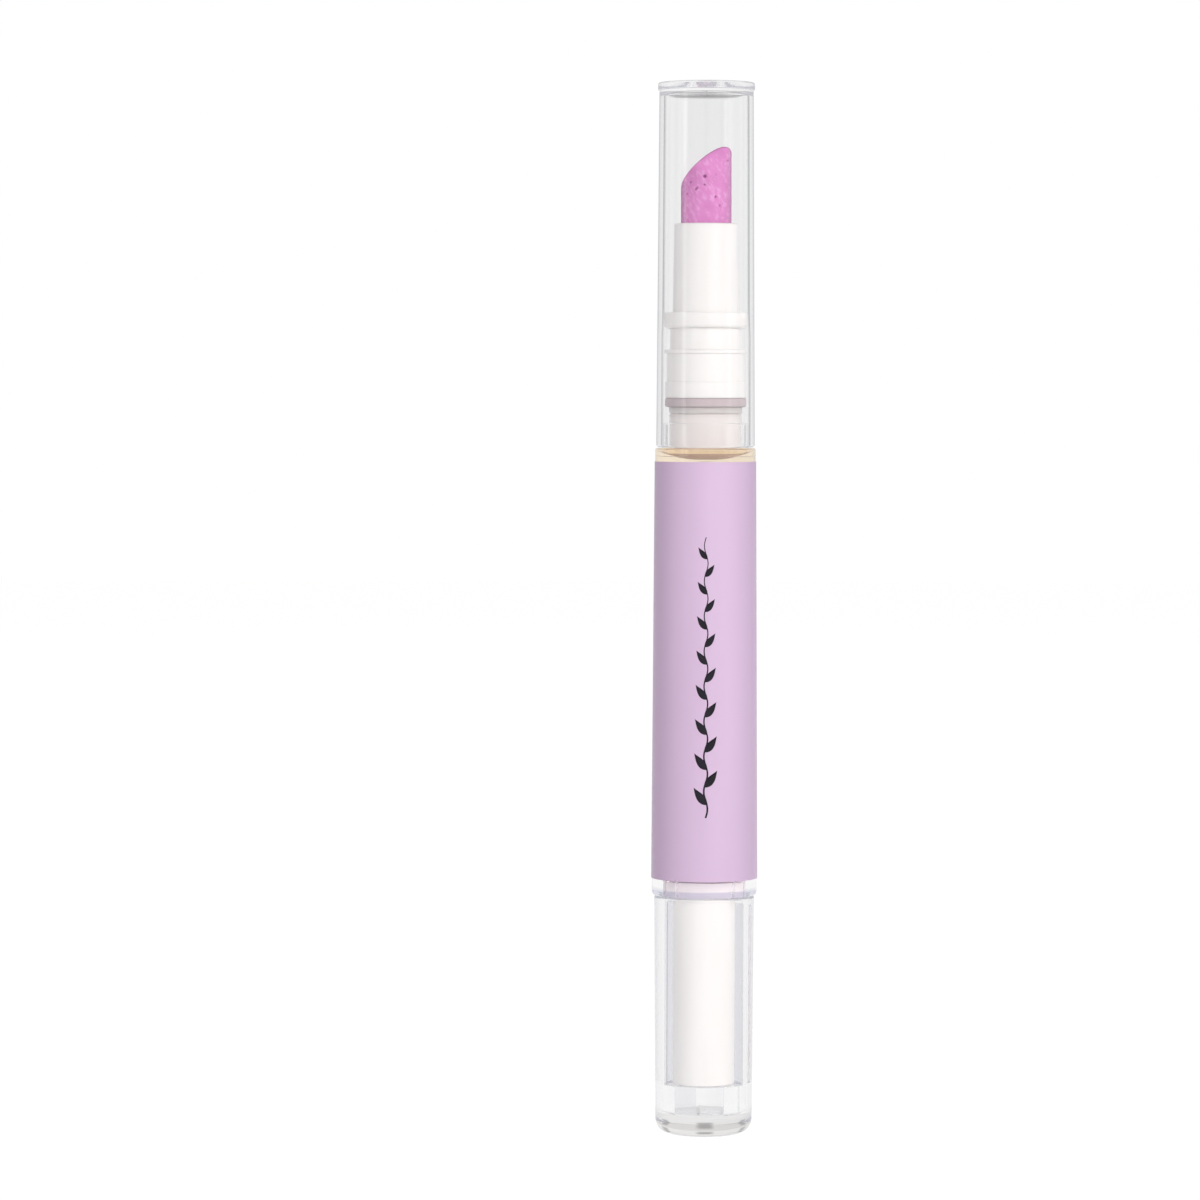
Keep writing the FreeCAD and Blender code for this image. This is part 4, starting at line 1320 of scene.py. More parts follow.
@dataclass
class Neck(Assembly):
    """What closes the barrel: the milky plug, the soft seal and the white connector."""

    plug_radius: float = 4.35
    plug_length: float = 4.3
    plug_dome: float = 1.2
    plug_round: float = 0.42
    plug_gap: float = 0.05
    flange_radius: float = 4.4
    flange_height: float = 0.8
    hole_radius: float = 0.82
    stem_hole_radius: float = 2.52
    stem_radius: float = 2.5
    seal_round: float = 0.3
    foot_radius: float = 4.84
    foot_height: float = 1.9
    body_radius: float = 4.67
    body_height: float = 3.4
    bead_radius: float = 4.97
    bead_height: float = 0.45
    waist_radius: float = 4.28
    spigot_radius: float = 2.85
    edge: float = 0.1

    def build(self) -> list[Piece]:
        """Builds the plug, the seal and the connector.

        Returns:
            The pieces.
        """
        finishes = self.finishes
        return [
            self.place(self.plug(), finishes.milky, Slot.MILKY, Body.PEN, "neck_plug"),
            self.place(self.seal(), finishes.seal, Slot.SEAL, Body.PEN, "neck_seal"),
            self.place(self.connector(), finishes.white, Slot.WHITE, Body.PEN, "neck_connector"),
        ]

    def plug(self) -> Piece:
        """The plug: a domed end in the oil, a socket for the connector's stem and a flange.

        Returns:
            The piece.
        """
        span = Span.of("neck_plug")
        top = span.high - self.flange_height
        bottom = top - self.plug_length
        stem_end = Span.of("neck_connector").low - self.plug_gap
        end = dome(self.plug_radius, bottom, -self.plug_dome, rows=20)
        end = end[end[:, 0] > self.hole_radius]
        land = self.plug_radius - self.plug_round
        body = rounded(
            [
                Corner(self.plug_radius, bottom),
                Corner(self.plug_radius, top, self.plug_round),
                Corner(land, top, 0.02),
                Corner(land, top + self.plug_gap, 0.02),
                Corner(self.flange_radius, top + self.plug_gap, self.edge),
                Corner(self.flange_radius, span.high, self.edge),
                Corner(self.stem_hole_radius, span.high, self.edge),
                Corner(self.stem_hole_radius, stem_end),
                Corner(self.hole_radius, stem_end),
                Corner(self.hole_radius, end[0, 1]),
            ]
        )
        return skin("neck_plug_moulding", turned(np.vstack((end[:-1], body))), Ends.LOOP)

    def seal(self) -> Piece:
        """The soft ring between the plug's flange and the connector's foot.

        Returns:
            The piece.
        """
        span = Span.of("neck_seal")
        corners = [
            Corner(self.stem_hole_radius, span.low),
            Corner(span.radius, span.low, self.seal_round),
            Corner(span.radius, span.high, self.seal_round),
            Corner(self.stem_hole_radius, span.high),
        ]
        return lathe("neck_seal_ring", corners, Ends.LOOP)

    def connector(self) -> Piece:
        """The connector: a stem in the plug, stepped rings under the cap and a spigot on top.

        Returns:
            The piece.
        """
        span, seat = Span.of("neck_connector"), Span.of("neck_seal").high
        foot_top = seat + self.foot_height
        body_top = foot_top + self.body_height
        bead_top = body_top + self.bead_height
        waist_top = Span.of("tip_holder").low
        corners = [
            Corner(self.hole_radius, span.low),
            Corner(self.stem_radius, span.low, self.edge),
            Corner(self.stem_radius, seat),
            Corner(self.foot_radius, seat, self.edge),
            Corner(self.foot_radius, foot_top, self.edge),
            Corner(self.body_radius, foot_top, 0.05),
            Corner(self.body_radius, body_top, 0.05),
            Corner(self.bead_radius, body_top, self.edge),
            Corner(self.bead_radius, bead_top, self.edge),
            Corner(self.waist_radius, bead_top, 0.08),
            Corner(self.waist_radius, waist_top),
            Corner(self.spigot_radius, waist_top),
            Corner(self.spigot_radius, span.high, self.edge),
            Corner(self.hole_radius, span.high),
        ]
        return lathe("neck_connector_moulding", corners, Ends.LOOP)


@dataclass(frozen=True)
class Sprig:
    """The printed sprig: a slender wavy stem with leaves left and right, drawn flat.

    Attributes:
        low: Height of the stem's foot.
        high: Height of its top.
        sway: How far its waves go to either side.
        foot_half: Half its width at the foot.
        top_half: Half its width at the top.
        stem_points: How many points its line has.
        leaves: How many leaves it has.
        leaf_start: Where the first leaf sits, as a share of the step from leaf to leaf.
        leaf_length: Length of a leaf at the foot.
        leaf_half: Half its width.
        leaf_loss: By what share leaves grow smaller towards the top.
        leaf_points: How many points a leaf's line has.
        lean: How far a leaf leans from upright, in degrees.
        curl: How much it curls up again.
        hairline: Half the least width of a line.
    """

    low: float = 38.5
    high: float = 71.9
    sway: float = 0.22
    foot_half: float = 0.11
    top_half: float = 0.05
    stem_points: int = 181
    leaves: int = 15
    leaf_start: float = 0.75
    leaf_length: float = 2.2
    leaf_half: float = 0.5
    leaf_loss: float = 0.35
    leaf_points: int = 15
    lean: float = 47.0
    curl: float = 0.25
    hairline: float = 0.012

    def drawing(self) -> tuple[Array, Faces]:
        """Draws the stem and the leaves.

        Returns:
            The points, (points, 2), as across and up in millimetres, and the four-sided faces.
        """
        ribbons = [self.draw_stem(), *(self.draw_leaf(number) for number in range(self.leaves))]
        starts = np.cumsum([0, *(len(points) for points, _ in ribbons[:-1])])
        points = np.vstack([points for points, _ in ribbons])
        return points, np.vstack([faces + start for (_, faces), start in zip(ribbons, starts)])

    def middle(self, share: Array) -> Array:
        """The stem's middle line at shares of its length: a sine across, half a wave for a leaf."""
        across = self.sway * np.sin(share * math.pi * (self.leaves + 1))
        return np.stack((across, self.low + share * (self.high - self.low)), axis=-1)

    def draw_stem(self) -> tuple[Array, Faces]:
        """The stem's ribbon, whose width falls steadily from its foot to its top.

        Returns:
            The ribbon's points and faces.
        """
        share = np.linspace(0.0, 1.0, self.stem_points)
        half = self.foot_half + (self.top_half - self.foot_half) * share
        return self.ribbon(self.middle(share), half)

    def draw_leaf(self, number: int) -> tuple[Array, Faces]:
        """A leaf's ribbon, along a line that leaves the stem at a slant and curls up.

        Half its width is the sine of the share of the way, drawn towards its root.

        Args:
            number: Which leaf it is, from the foot up. Odd ones lie on the right.

        Returns:
            The ribbon's points and faces.
        """
        start = (number + self.leaf_start) / (self.leaves + 1)
        side = 1.0 if number % 2 else -1.0
        size = 1.0 - self.leaf_loss * start
        length, lean = self.leaf_length * size, math.radians(self.lean)
        share = np.linspace(0.0, 1.0, self.leaf_points)
        across = side * length * share * math.sin(lean)
        up = length * (share * math.cos(lean) + self.curl * share**2)
        line = self.middle(np.array(start)) + np.stack((across, up), axis=1)
        return self.ribbon(line, self.leaf_half * size * np.sin(math.pi * share**0.8))

    def ribbon(self, line: Array, half: Array) -> tuple[Array, Faces]:
        """A flat ribbon of changing width along a line.

        Each point of the line is stepped to both sides along the line's own normal.

        Args:
            line: The middle line's points, (points, 2).
            half: Half the width at each of them.

        Returns:
            The ribbon's points, (points * 3, 2), and its four-sided faces.
        """
        step = np.gradient(line, axis=0)
        step = step / np.linalg.norm(step, axis=1, keepdims=True)
        normal = np.stack((step[:, 1], -step[:, 0]), axis=1)
        sides = np.array([-1.0, 0.0, 1.0])[None, :, None]
        width = np.maximum(half, self.hairline)[:, None, None]
        points = line[:, None, :] + sides * width * normal[:, None, :]
        row = np.arange(len(line) - 1)[:, None] * 3
        here = row + np.arange(2)[None, :]
        quads = np.stack((here, here + 1, here + 4, here + 3), axis=-1)
        return points.reshape(-1, 2), quads.reshape(-1, 4)


@dataclass
class Barrel(Assembly):
    """The clear barrel with its label and the oil inside."""

    front_radius: float = 6.0
    rear_round: float = 0.35
    shoulder_round: float = 0.2
    neck_radius: float = 5.17
    neck_height: float = 3.0
    neck_bore: float = 4.37
    shoulder_wall: float = 1.0
    shoulder_rise: float = 0.6
    reservoir_radius: float = 4.8
    insert_radius: float = 5.0
    slot_radius: float = 5.45
    slot_half_width: float = 0.75
    slot_turn: float = 45.0
    slot_end_above_ratchet: float = 1.55
    film_gap: float = 0.01
    film_thickness: float = 0.06
    film_overhang: float = 0.1
    seam_turn: float = 90.0
    seam_depth: float = 0.035
    seam_half_angle: float = 0.5
    ink_gap: float = 0.006
    ink_thickness: float = 0.008
    insert_gap: float = 0.05
    oil_overlap: float = 0.02
    oil_clearance: float = 0.03
    oil_split: float = 80.0

    def build(self) -> list[Piece]:
        """Builds the barrel, the label, its print and the oil's two parts.

        Returns:
            The pieces.
        """
        finishes = self.finishes
        oil = self.place(self.oil_column(), finishes.oil, Slot.OIL, Body.PEN, "oil_fill")
        self.let_shrink(oil)
        return [
            self.place(self.shell(), finishes.barrel, Slot.CLEAR, Body.PEN, "barrel"),
            self.place(self.label(), finishes.film, Slot.FILM, Body.PEN, "label_sleeve"),
            self.place(self.print_sprig(Sprig()), finishes.ink, None, Body.PEN),
            oil,
            self.place(self.oil_neck(), finishes.oil, Slot.OIL, Body.PEN),
        ]

    def outer_radius(self, height: Array | float) -> Array | float:
        """The barrel's outside radius at a height: a straight draft from foot to shoulder.

        Args:
            height: One height or many, in millimetres.

        Returns:
            The radius in millimetres.
        """
        span = Span.of("barrel")
        shoulder = span.high - self.neck_height
        share = (height - span.low) / (shoulder - span.low)
        return span.radius + (self.front_radius - span.radius) * share

    def shell(self) -> Piece:
        """The barrel: reservoir, shoulder and neck, with key slots in its open rear.

        Returns:
            The piece.
        """
        span = Span.of("barrel")
        shoulder = span.high - self.neck_height
        ceiling = shoulder - self.shoulder_wall
        insert_end = Span.of("feed_nut").high + self.insert_gap
        slot_end = Span.of("ratchet_ring").high + self.slot_end_above_ratchet
        half = math.degrees(math.asin(self.slot_half_width / self.insert_radius))
        slots = Pattern(4, self.slot_turn, half, between=44)
        chain = rounded(
            [
                Corner(self.insert_radius, span.low),
                Corner(span.radius, span.low, self.rear_round),
                Corner(self.front_radius, shoulder, self.shoulder_round),
                Corner(self.neck_radius, shoulder, 0.1),
                Corner(self.neck_radius, span.high, self.shoulder_round),
                Corner(self.neck_bore, span.high, 0.12),
                Corner(self.neck_bore, ceiling, 0.1),
                Corner(self.reservoir_radius, ceiling - self.shoulder_rise, 0.2),
                Corner(self.reservoir_radius, insert_end, 0.05),
                Corner(self.insert_radius, insert_end, 0.05),
                Corner(self.insert_radius, slot_end),
            ]
        )
        inside = slots.inside()
        slotted = np.where(inside, self.slot_radius, self.insert_radius)[None, :]
        radii = np.vstack((slotted, all_round(chain[1:], len(inside)), slotted))
        heights = np.concatenate((chain[:, 1], [slot_end]))[:, None]
        return skin("barrel_shell", around_axis(radii, heights, slots.angles()), Ends.LOOP)

    def label(self) -> Piece:
        """The film round the barrel, with a fine butt seam down the back.

        Returns:
            The piece.
        """
        span = Span.of("label_sleeve")
        seam = Pattern(1, self.seam_turn, self.seam_half_angle, between=180)
        low = span.low - self.film_overhang
        heights = np.array([low, low, span.high, span.high])
        inner = self.outer_radius(heights) + self.film_gap
        thick = np.array([0.0, 1.0, 1.0, 0.0]) * self.film_thickness
        sunk = np.where(seam.inside(), self.seam_depth, 0.0)[None, :] * (thick[:, None] > 0)
        radii = (inner + thick)[:, None] - sunk
        return skin("label_film", around_axis(radii, heights[:, None], seam.angles()), Ends.LOOP)

    def print_sprig(self, sprig: Sprig) -> Piece:
        """Lays the flat drawing round the film: across becomes an angle, up stays up.

        Args:
            sprig: What is printed.

        Returns:
            The print, as a thin layer of ink.
        """
        flat, faces = sprig.drawing()
        radius = self.outer_radius(flat[:, 1]) + self.film_gap + self.film_thickness + self.ink_gap
        angle = FRONT + flat[:, 0] / radius
        laid = np.stack((radius * np.cos(angle), radius * np.sin(angle), flat[:, 1]), axis=1)
        piece = make_mesh("label_sprig_print", laid, faces.tolist())
        body = piece.modifiers.new("ink", "SOLIDIFY")
        body.thickness = self.ink_thickness * MM
        body.offset = -1.0
        return piece

    def oil_column(self) -> Piece:
        """The oil over the piston's dome.

        Returns:
            The piece.
        """
        span, piston = Span.of("oil_fill"), Span.of("piston")
        crown = piston.high + self.oil_clearance
        radius = self.reservoir_radius + self.oil_overlap
        floor = dome(radius, span.low, crown - span.low, rows=16)
        lid = np.array([[radius, self.oil_split], [0.0, self.oil_split]])
        return skin("oil_column", turned(np.vstack((floor, lid))), Ends.POLES)

    def oil_neck(self) -> Piece:
        """The oil round the plug's domed end, which stays where it is.

        Returns:
            The piece.
        """
        overlap = self.oil_overlap
        low, top = self.oil_split - overlap, Span.of("oil_fill").high + self.oil_clearance
        ceiling = Span.of("barrel").high - self.neck_height - self.shoulder_wall
        radius, neck = self.reservoir_radius + overlap, self.neck_bore + overlap
        under = dome(neck, top, Span.of("neck_plug").low + overlap - top, rows=20)[::-1]
        outline = rounded(
            [
                Corner(0.0, low),
                Corner(radius, low),
                Corner(radius, ceiling - self.shoulder_rise + overlap, 0.2),
                Corner(neck, ceiling + overlap, 0.1),
                Corner(neck, top),
            ]
        )
        return skin("oil_in_neck", turned(np.vstack((outline[:-1], under))), Ends.POLES)

    def let_shrink(self, oil: Piece) -> None:
        """Gives the oil's column a mesh of its own. The piston's rise is worked out but not used.

        Args:
            oil: The column.
        """
        height = (self.oil_split - Span.of("piston").high) * MM
        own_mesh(oil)


@dataclass
class Drive(Assembly):
    """What turns: the clear knob, the white drive sleeve and the flatted screw rod."""

    top_radius: float = 6.0
    foot_radius: float = 5.8
    foot_round: float = 1.7
    mouth_round: float = 0.2
    bore_radius: float = 4.75
    floor: float = 6.0
    pocket_radius: float = 3.5
    pocket_floor: float = 2.4
    pocket_round: float = 0.45
    pocket_rim: float = 0.5
    pocket_sides: int = 8
    gate_radius: float = 1.02
    gate_floor_radius: float = 0.9
    gate_depth: float = 0.12
    ribs: int = 2
    rib_half_width: float = 0.3
    rib_tip_radius: float = 3.6
    rib_setback: float = 0.9
    facet_turn: float = -11.5
    sleeve_radius: float = 3.75
    sleeve_bore: float = 2.75
    sleeve_floor: float = 0.9
    sleeve_dome: float = 0.45
    sleeve_dome_radius: float = 2.8
    groove_floor: float = 3.55
    flange_height: float = 1.0
    journal_radius: float = 3.0
    rod_radius: float = 2.0
    thread_root: float = 1.68
    rod_flat: float = 1.5
    rod_neck_radius: float = 1.2
    rod_neck_height: float = 1.1
    rod_head_radius: float = 1.7
    rod_head_height: float = 1.4
    rod_start: float = 0.25
    rod_rows: int = 300
    rod_columns: int = 72
    lead: float = 2.0
    thread_flank: float = 0.75
    groove_gap: float = 0.05
    collar_gap: float = 0.1
    rod_gap: float = 0.1

    def build(self) -> list[Piece]:
        """Builds the knob, the sleeve and the rod.

        Returns:
            The pieces.
        """
        finishes = self.finishes
        return [
            self.place(self.knob(), finishes.knob, Slot.CLEAR, Body.KNOB, "knob"),
            self.place(self.sleeve(), finishes.white, Slot.WHITE, Body.KNOB, "drive_sleeve"),
            self.place(self.rod(), finishes.natural, Slot.NATURAL, Body.ROD, "screw_rod"),
        ]

    def rib_pattern(self, half_width: float) -> Pattern:
        """The places of the ribs, or of the grooves that they fill."""
        half = math.degrees(math.asin(half_width / self.rib_tip_radius))
        return Pattern(self.ribs, self.facet_turn, half, between=96)

    def flatted(self, distance: float, angles: Array) -> Array:
        """The radii of two flats: their distance from the axis over the cosine of the angle."""
        return np.abs(distance / np.cos(angles - math.radians(self.facet_turn)))

    def eight_sided(self, angles: Array) -> Array:
        """The pocket's section as a share of its corner radius, with its corners rounded.

        A side's radius is the apothem over the cosine of the angle from the side's middle. Near a
        corner it gives way to a circle that touches both sides.

        Args:
            angles: The columns' angles, in radians.

        Returns:
            The radius at each column over the corner radius.
        """
        half = math.pi / self.pocket_sides
        from_corner = (angles - math.radians(self.facet_turn) + half) % (2 * half) - half
        side = math.cos(half) / np.cos(half - np.abs(from_corner))
        round_share = self.pocket_round / self.pocket_radius
        centre = 1.0 - round_share / math.cos(half)
        touch = math.atan2(round_share * math.sin(half), centre + round_share * math.cos(half))
        under = np.sqrt(np.maximum(round_share**2 - (centre * np.sin(from_corner)) ** 2, 0.0))
        circle = centre * np.cos(from_corner) + under
        return np.where(np.abs(from_corner) < touch, circle, side)

    def knob(self) -> Piece:
        """The clear knob: a thick rounded foot, an eight-sided pocket and a ribbed bore.

        Returns:
            The piece.
        """
        span = Span.of("knob")
        ribs = self.rib_pattern(self.rib_half_width)
        angles = ribs.angles()
        chain = rounded(
            [
                Corner(0.0, self.gate_depth),
                Corner(self.gate_floor_radius, self.gate_depth, 0.05),
                Corner(self.gate_radius, 0.0, 0.05),
                Corner(self.foot_radius, 0.0, self.foot_round),
                Corner(self.top_radius, span.high, self.mouth_round),
                Corner(self.bore_radius, span.high, self.mouth_round),
                Corner(self.bore_radius, span.high - self.rib_setback),
            ],
            steps=7,
        )
        pocket = rounded(
            [
                Corner(self.pocket_radius + self.pocket_rim, self.floor),
                Corner(self.pocket_radius, self.floor, 0.15),
                Corner(self.pocket_radius, self.pocket_floor, 0.3),
                Corner(0.0, self.pocket_floor),
            ]
        )
        ribbed = np.where(ribs.inside(), self.rib_tip_radius, self.bore_radius)[None, :]
        eight = pocket[:, :1] * self.eight_sided(angles)[None, :]
        radii = np.vstack((all_round(chain, len(angles)), ribbed, ribbed, eight))
        heights = np.concatenate((chain[:, 1], [chain[-1, 1], self.floor], pocket[:, 1]))[:, None]
        return skin("twist_knob", around_axis(radii, heights, angles), Ends.POLES)

    def sleeve(self) -> Piece:
        """The drive sleeve: a domed end, grooves for the ribs, a flange and a flatted mouth.

        Returns:
            The piece.
        """
        span, floor = Span.of("drive_sleeve"), self.floor + self.sleeve_floor
        flange_low = Span.of("end_collar").high + self.collar_gap
        flange_top = flange_low + self.flange_height
        groove_top = Span.of("knob").high - self.rib_setback
        mouth = self.rod_radius + self.rod_gap
        grooves = self.rib_pattern(self.rib_half_width + self.groove_gap)
        angles = grooves.angles()
        columns = len(angles)
        end = dome(self.sleeve_dome_radius, self.floor, -self.sleeve_dome, rows=10)
        lower = rounded(
            [
                Corner(self.sleeve_dome_radius, self.floor),
                Corner(self.sleeve_radius, self.floor, 0.2),
                Corner(self.sleeve_radius, groove_top),
            ]
        )
        upper = rounded(
            [
                Corner(self.sleeve_radius, groove_top),
                Corner(self.sleeve_radius, flange_low),
                Corner(span.radius, flange_low, 0.08),
                Corner(span.radius, flange_top, 0.08),
                Corner(self.journal_radius, flange_top, 0.08),
                Corner(self.journal_radius, span.high, 0.1),
                Corner(mouth, span.high),
            ]
        )
        bore = rounded(
            [
                Corner(self.sleeve_bore, flange_low),
                Corner(self.sleeve_bore, floor, 0.3),
                Corner(0.0, floor),
            ]
        )
        grooved = np.where(grooves.inside(), self.groove_floor, np.inf)[None, :]
        keyed = np.minimum(self.flatted(self.rod_flat + self.rod_gap, angles), mouth)[None, :]
        radii = np.vstack(
            (
                all_round(end, columns),
                np.minimum(lower[1:, :1], grooved),
                all_round(upper[:-1], columns),
                keyed,
                keyed,
                all_round(bore, columns),
            )
        )
        heights = np.concatenate((end[:, 1], lower[1:, 1], upper[:, 1], [flange_low], bore[:, 1]))
        grid = around_axis(radii, heights[:, None], angles)
        return skin("drive_sleeve_moulding", grid, Ends.POLES)

    def rod(self) -> Piece:
        """The screw rod: a thread of steady lead, cut away by two flats, and a snap head.

        The thread's depth is a clipped wave of the height over the lead, less the share of the
        turn. The flats hold the radius to their own.

        Returns:
            The piece.
        """
        span = Span.of("screw_rod")
        neck_top = span.high - self.rod_head_height
        shoulder = neck_top - self.rod_neck_height
        angles = even_turn(self.rod_columns)
        rows = np.linspace(span.low + self.rod_start, shoulder, self.rod_rows)[:, None]
        wave = np.cos((rows / self.lead - angles[None, :] / FULL_TURN) * FULL_TURN)
        depth = np.clip(0.5 - self.thread_flank * wave, 0.0, 1.0)
        thread = self.rod_radius - (self.rod_radius - self.thread_root) * depth
        flat = self.flatted(self.rod_flat, angles)[None, :]
        head = rounded(
            [
                Corner(self.rod_neck_radius, shoulder),
                Corner(self.rod_neck_radius, neck_top),
                Corner(self.rod_head_radius, neck_top, 0.08),
                Corner(self.rod_neck_radius, span.high, 0.1),
                Corner(0.0, span.high),
            ]
        )
        radii = np.vstack(
            (
                np.zeros((1, self.rod_columns)),
                np.minimum(self.thread_root, flat),
                np.minimum(thread, flat),
                all_round(head, self.rod_columns),
            )
        )
        heights = np.concatenate(([span.low, span.low], rows[:, 0], head[:, 1]))[:, None]
        return skin("threaded_screw_rod", around_axis(radii, heights, angles), Ends.POLES)


@dataclass
class FeedWorks(Assembly):
    """The hidden works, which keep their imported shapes."""

    natural_nodes: tuple[str, ...] = ("end_collar", "ratchet_ring", "click_spring", "feed_nut")
    milky_nodes: tuple[str, ...] = ("piston",)

    def build(self) -> list[Piece]:
        """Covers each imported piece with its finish."""
        natural = [self.dress(node, self.finishes.natural) for node in self.natural_nodes]
        return natural + [self.dress(node, self.finishes.milky) for node in self.milky_nodes]


# Studio


@dataclass(frozen=True)
class Softbox:
    """A soft rectangular lamp.

    Attributes:
        name: The lamp's name.
        turn: Its angle round the pen from the camera's side, in degrees, positive to the right.
        height: Its height, in metres.
        size: Its width and height, in metres.
        power: Its power, in watts.
        colour: Its colour.
        mirrored: Whether gloss and glass show it. For the wide lamps, the world's own look does.
        distance: Its distance from the pen, in metres.
    """

    name: str
    turn: float
    height: float
    size: tuple[float, float]
    power: float
    colour: Colour = (1.0, 1.0, 1.0)
    mirrored: bool = False
    distance: float = 0.9

    def hang(self, aim_height: float) -> None:
        """Puts the lamp up and aims it at the pen's axis at that height.

        Args:
            aim_height: Height of the point that it faces, in metres.
        """
        lamp = bpy.data.lights.new(self.name, "AREA")
        lamp.shape = "RECTANGLE"
        lamp.size, lamp.size_y = self.size
        lamp.energy = self.power
        lamp.color = self.colour
        turn = math.radians(self.turn)
        holder = bpy.data.objects.new(self.name, lamp)
        across, towards = self.distance * math.sin(turn), self.distance * math.cos(turn)
        holder.location = (across, -towards, self.height)
        aim = holder.location.copy()
        aim.z -= aim_height
        holder.rotation_euler = aim.to_track_quat("Z", "Y").to_euler()
        holder.visible_glossy = holder.visible_transmission = self.mirrored
        bpy.context.scene.collection.objects.link(holder)


@dataclass
class Studio:
    """A plain bright studio: pale floor, white surroundings, soft lamps and the camera.

    Attributes:
        eye_distance: How far the camera stands from the pen's axis, in millimetres.
        eye_height: Its height, in millimetres.
        aim_height: Height of the picture's middle at the axis, in millimetres.
        aim_side: The camera's place to the side, in millimetres.
        view_width: Width of the picture at the pen, in millimetres.
        roll: The camera's tilt, in degrees.
        sensor: The camera's sensor width, in millimetres.
        floor_reach: Half the floor's width, in metres.
        card_level: Brightness of the white cards that glass and gloss see.
        gap_level: Brightness between them.
        cards: How many there are.
        card_wave: Where the cosine passes from card to gap.
        bend: The upward part of a bent ray's way between which the gaps come in.
        ring_level: Brightness of the grey ring above.
        ring_height: The upward part of the way to its middle.
        ring_edge: How far its core and its soft edge reach from there.
        left_level: Brightness at the left.
        left_edge: Where the left's shade begins and ends, along X.
        front_level: Brightness behind the camera, as a mirrored ray finds it.
        front_edge: Where that shade begins and ends, along Y.
        gloss_level: Brightness that opaque gloss sees.
        soft_level: Brightness as soft light.
        soft_tint: Colour of that light.
        floor_level: Brightness of the floor through glass.
        floor_direct: Its brightness in any other view.
        floor_glow: How much of the floor's look is its own glow.
    """

    eye_distance: float = 576.0
    eye_height: float = 90.24
    aim_height: float = 64.14
    aim_side: float = -12.6
    view_width: float = 144.0
    roll: float = 0.12
    sensor: float = 36.0
    floor_reach: float = 1.6
    card_level: float = 0.95
    gap_level: float = 0.5
    cards: int = 8
    card_wave: tuple[float, float] = (0.3, 0.95)
    bend: tuple[float, float] = (0.1, 0.2)
    ring_level: float = 0.6
    ring_height: float = 0.6
    ring_edge: tuple[float, float] = (0.08, 0.3)
    left_level: float = 0.93
    left_edge: tuple[float, float] = (-0.9, 0.2)
    front_level: float = 0.4
    front_edge: tuple[float, float] = (-0.85, -0.1)
    gloss_level: float = 0.62
    soft_level: float = 0.42
    soft_tint: Colour = (1.0, 0.95, 0.985)
    floor_level: float = 0.97
    floor_direct: float = 1.05
    floor_glow: float = 0.92
    softboxes: tuple[Softbox, ...] = (
        Softbox("key_right", 24.0, 0.25, (0.8, 0.9), 7.8, (1.0, 0.985, 0.965)),
        Softbox("fill_left", -62.0, 0.2, (0.7, 0.9), 0.6, (0.98, 0.93, 1.0)),
        Softbox("back_left", -140.0, 0.3, (0.8, 0.9), 3.0),
        Softbox("back_right", 140.0, 0.3, (0.8, 0.9), 3.0),
        Softbox("strip_left", -56.0, 0.16, (0.14, 0.7), 0.3, mirrored=True),
        Softbox("strip_right", 60.0, 0.16, (0.14, 0.7), 0.12, mirrored=True),
    )

    def build(self) -> None:
        """Sets up the camera, the lamps, the world and the floor."""
        scene = bpy.context.scene
        scene.view_settings.view_transform = "Standard"
        self.set_camera()
        for softbox in self.softboxes:
            softbox.hang(self.aim_height * MM)
        self.light_world()
        self.lay_floor()

    def set_camera(self) -> None:
        """Puts the camera at the photograph's viewpoint."""
        fall = self.eye_height - self.aim_height
        lens = bpy.data.cameras.new("camera")
        lens.sensor_width = self.sensor
        lens.lens = self.sensor * math.hypot(self.eye_distance, fall) / self.view_width
        lens.clip_start, lens.clip_end = 0.05, 20.0
        pitch = math.pi / 2 - math.atan2(fall, self.eye_distance)
        turn = Matrix.Rotation(pitch, 4, "X") @ Matrix.Rotation(math.radians(self.roll), 4, "Z")
        eye = (self.aim_side * MM, -self.eye_distance * MM, self.eye_height * MM)
        camera = bpy.data.objects.new("camera", lens)
        camera.matrix_world = Matrix.Translation(eye) @ turn
        bpy.context.scene.collection.objects.link(camera)
        bpy.context.scene.camera = camera

    def light_world(self) -> None:
        """Lights the surroundings: white to the eye, panelled through glass, dim as soft light."""
        world = bpy.data.worlds.new("light_tent")
        world.use_nodes = True
        bpy.context.scene.world = world
        graph = Graph(world.node_tree)
        path = graph.add("LightPath")
        glossy = path.outputs["Is Glossy Ray"]
        level = graph.choose(glossy, self.soft_level, self.gloss_level)
        level = graph.choose(path.outputs["Is Transmission Ray"], level, self.through_glass(graph))
        level = graph.choose(path.outputs["Is Camera Ray"], level, 1.0)
        colour = graph.mix(path.outputs["Is Diffuse Ray"], (1.0, 1.0, 1.0), self.soft_tint)
        background = graph.add("Background", {"Color": colour, "Strength": level})
        graph.add("OutputWorld", {"Surface": background.outputs[0]})

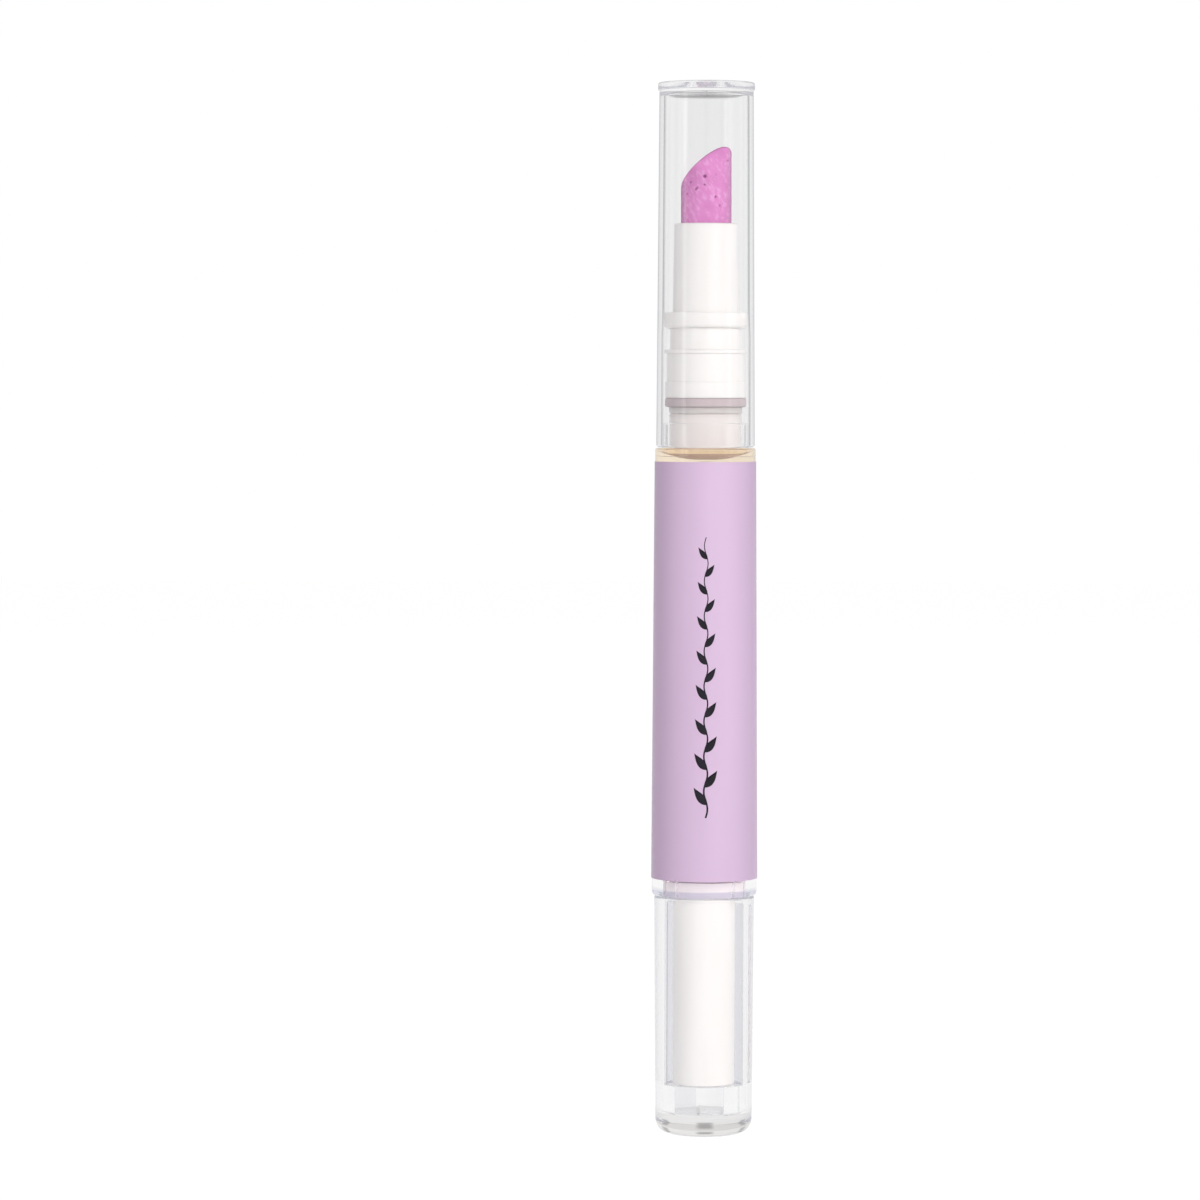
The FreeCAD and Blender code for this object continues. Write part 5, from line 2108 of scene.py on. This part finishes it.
    def through_glass(self, graph: Graph) -> Socket:
        """The brightness of the surroundings as clear walls show them.

        Grey gaps lie between white cards round the pen: the cosine of the cards' number times the
        angle picks them. A ray that was mirrored or bent well upwards finds the gaps, and one that
        comes straight through finds plain white. A grey ring lies above, the left is a little
        darker, and a mirrored ray finds the room behind the camera dimmer.

        Args:
            graph: The world's graph.

        Returns:
            The brightness.
        """
        way = graph.add("SeparateXYZ", {0: graph.add("TexCoord").outputs["Generated"]}).outputs
        turn = graph.maths("ARCTAN2", way["Y"], way["X"])
        wave = graph.maths("COSINE", graph.times(turn, float(self.cards)))
        depth = graph.add("LightPath").outputs["Glossy Depth"]
        mirrored = graph.maths("MINIMUM", depth, 1.0)
        bent = graph.maths("MAXIMUM", mirrored, graph.spread(way["Z"], *self.bend))
        gaps = graph.spread(wave, *self.card_wave, self.card_level, self.gap_level)
        cards = graph.choose(bent, self.card_level, gaps)
        away = graph.maths("ABSOLUTE", graph.maths("SUBTRACT", way["Z"], self.ring_height))
        ring = graph.spread(away, *self.ring_edge, self.ring_level, 1.0)
        left = graph.spread(way["X"], *self.left_edge, self.left_level, 1.0)
        front = graph.spread(way["Y"], *self.front_edge, self.front_level, 1.0)
        seen = graph.times(graph.times(cards, ring), left)
        return graph.times(seen, graph.choose(mirrored, 1.0, front))

    def lay_floor(self) -> None:
        """Lays a white floor that keeps a faint shadow of the pen and is clear from below."""
        corners = np.array([(-1, -1, 0), (1, -1, 0), (1, 1, 0), (-1, 1, 0)]) * self.floor_reach / MM
        floor = make_mesh("floor", corners, [[0, 1, 2, 3]])
        material = bpy.data.materials.new("white_floor")
        material.use_nodes = True
        graph = Graph(material.node_tree)
        ray = graph.add("LightPath").outputs
        through = ray["Is Transmission Ray"]
        level = graph.choose(through, self.floor_direct, self.floor_level)
        glow = graph.add("Emission", {"Color": (1.0, 1.0, 1.0), "Strength": level}).outputs[0]
        matte = graph.add("BsdfDiffuse", {"Color": (0.9, 0.9, 0.9)}).outputs[0]
        seen = graph.maths("MAXIMUM", through, ray["Is Glossy Ray"])
        seen = graph.maths("MAXIMUM", seen, ray["Is Camera Ray"])
        above = graph.blend(graph.times(seen, self.floor_glow), matte, glow)
        clear = graph.add("BsdfTransparent").outputs[0]
        below = graph.add("NewGeometry").outputs["Backfacing"]
        graph.add("OutputMaterial", {"Surface": graph.blend(below, above, clear)})
        floor.data.materials.append(material)


def main() -> None:
    """Builds the pen, one sub-assembly after another, and then the studio."""
    finishes = Finishes(Effects())
    for assembly in (Cap, Applicator, Neck, Barrel, Drive, FeedWorks):
        for piece in assembly(finishes).build():
            log.info("%s: %s, %d faces", assembly.__name__, piece.name, len(piece.data.polygons))
    Studio().build()


if __name__ == "__main__":
    main()
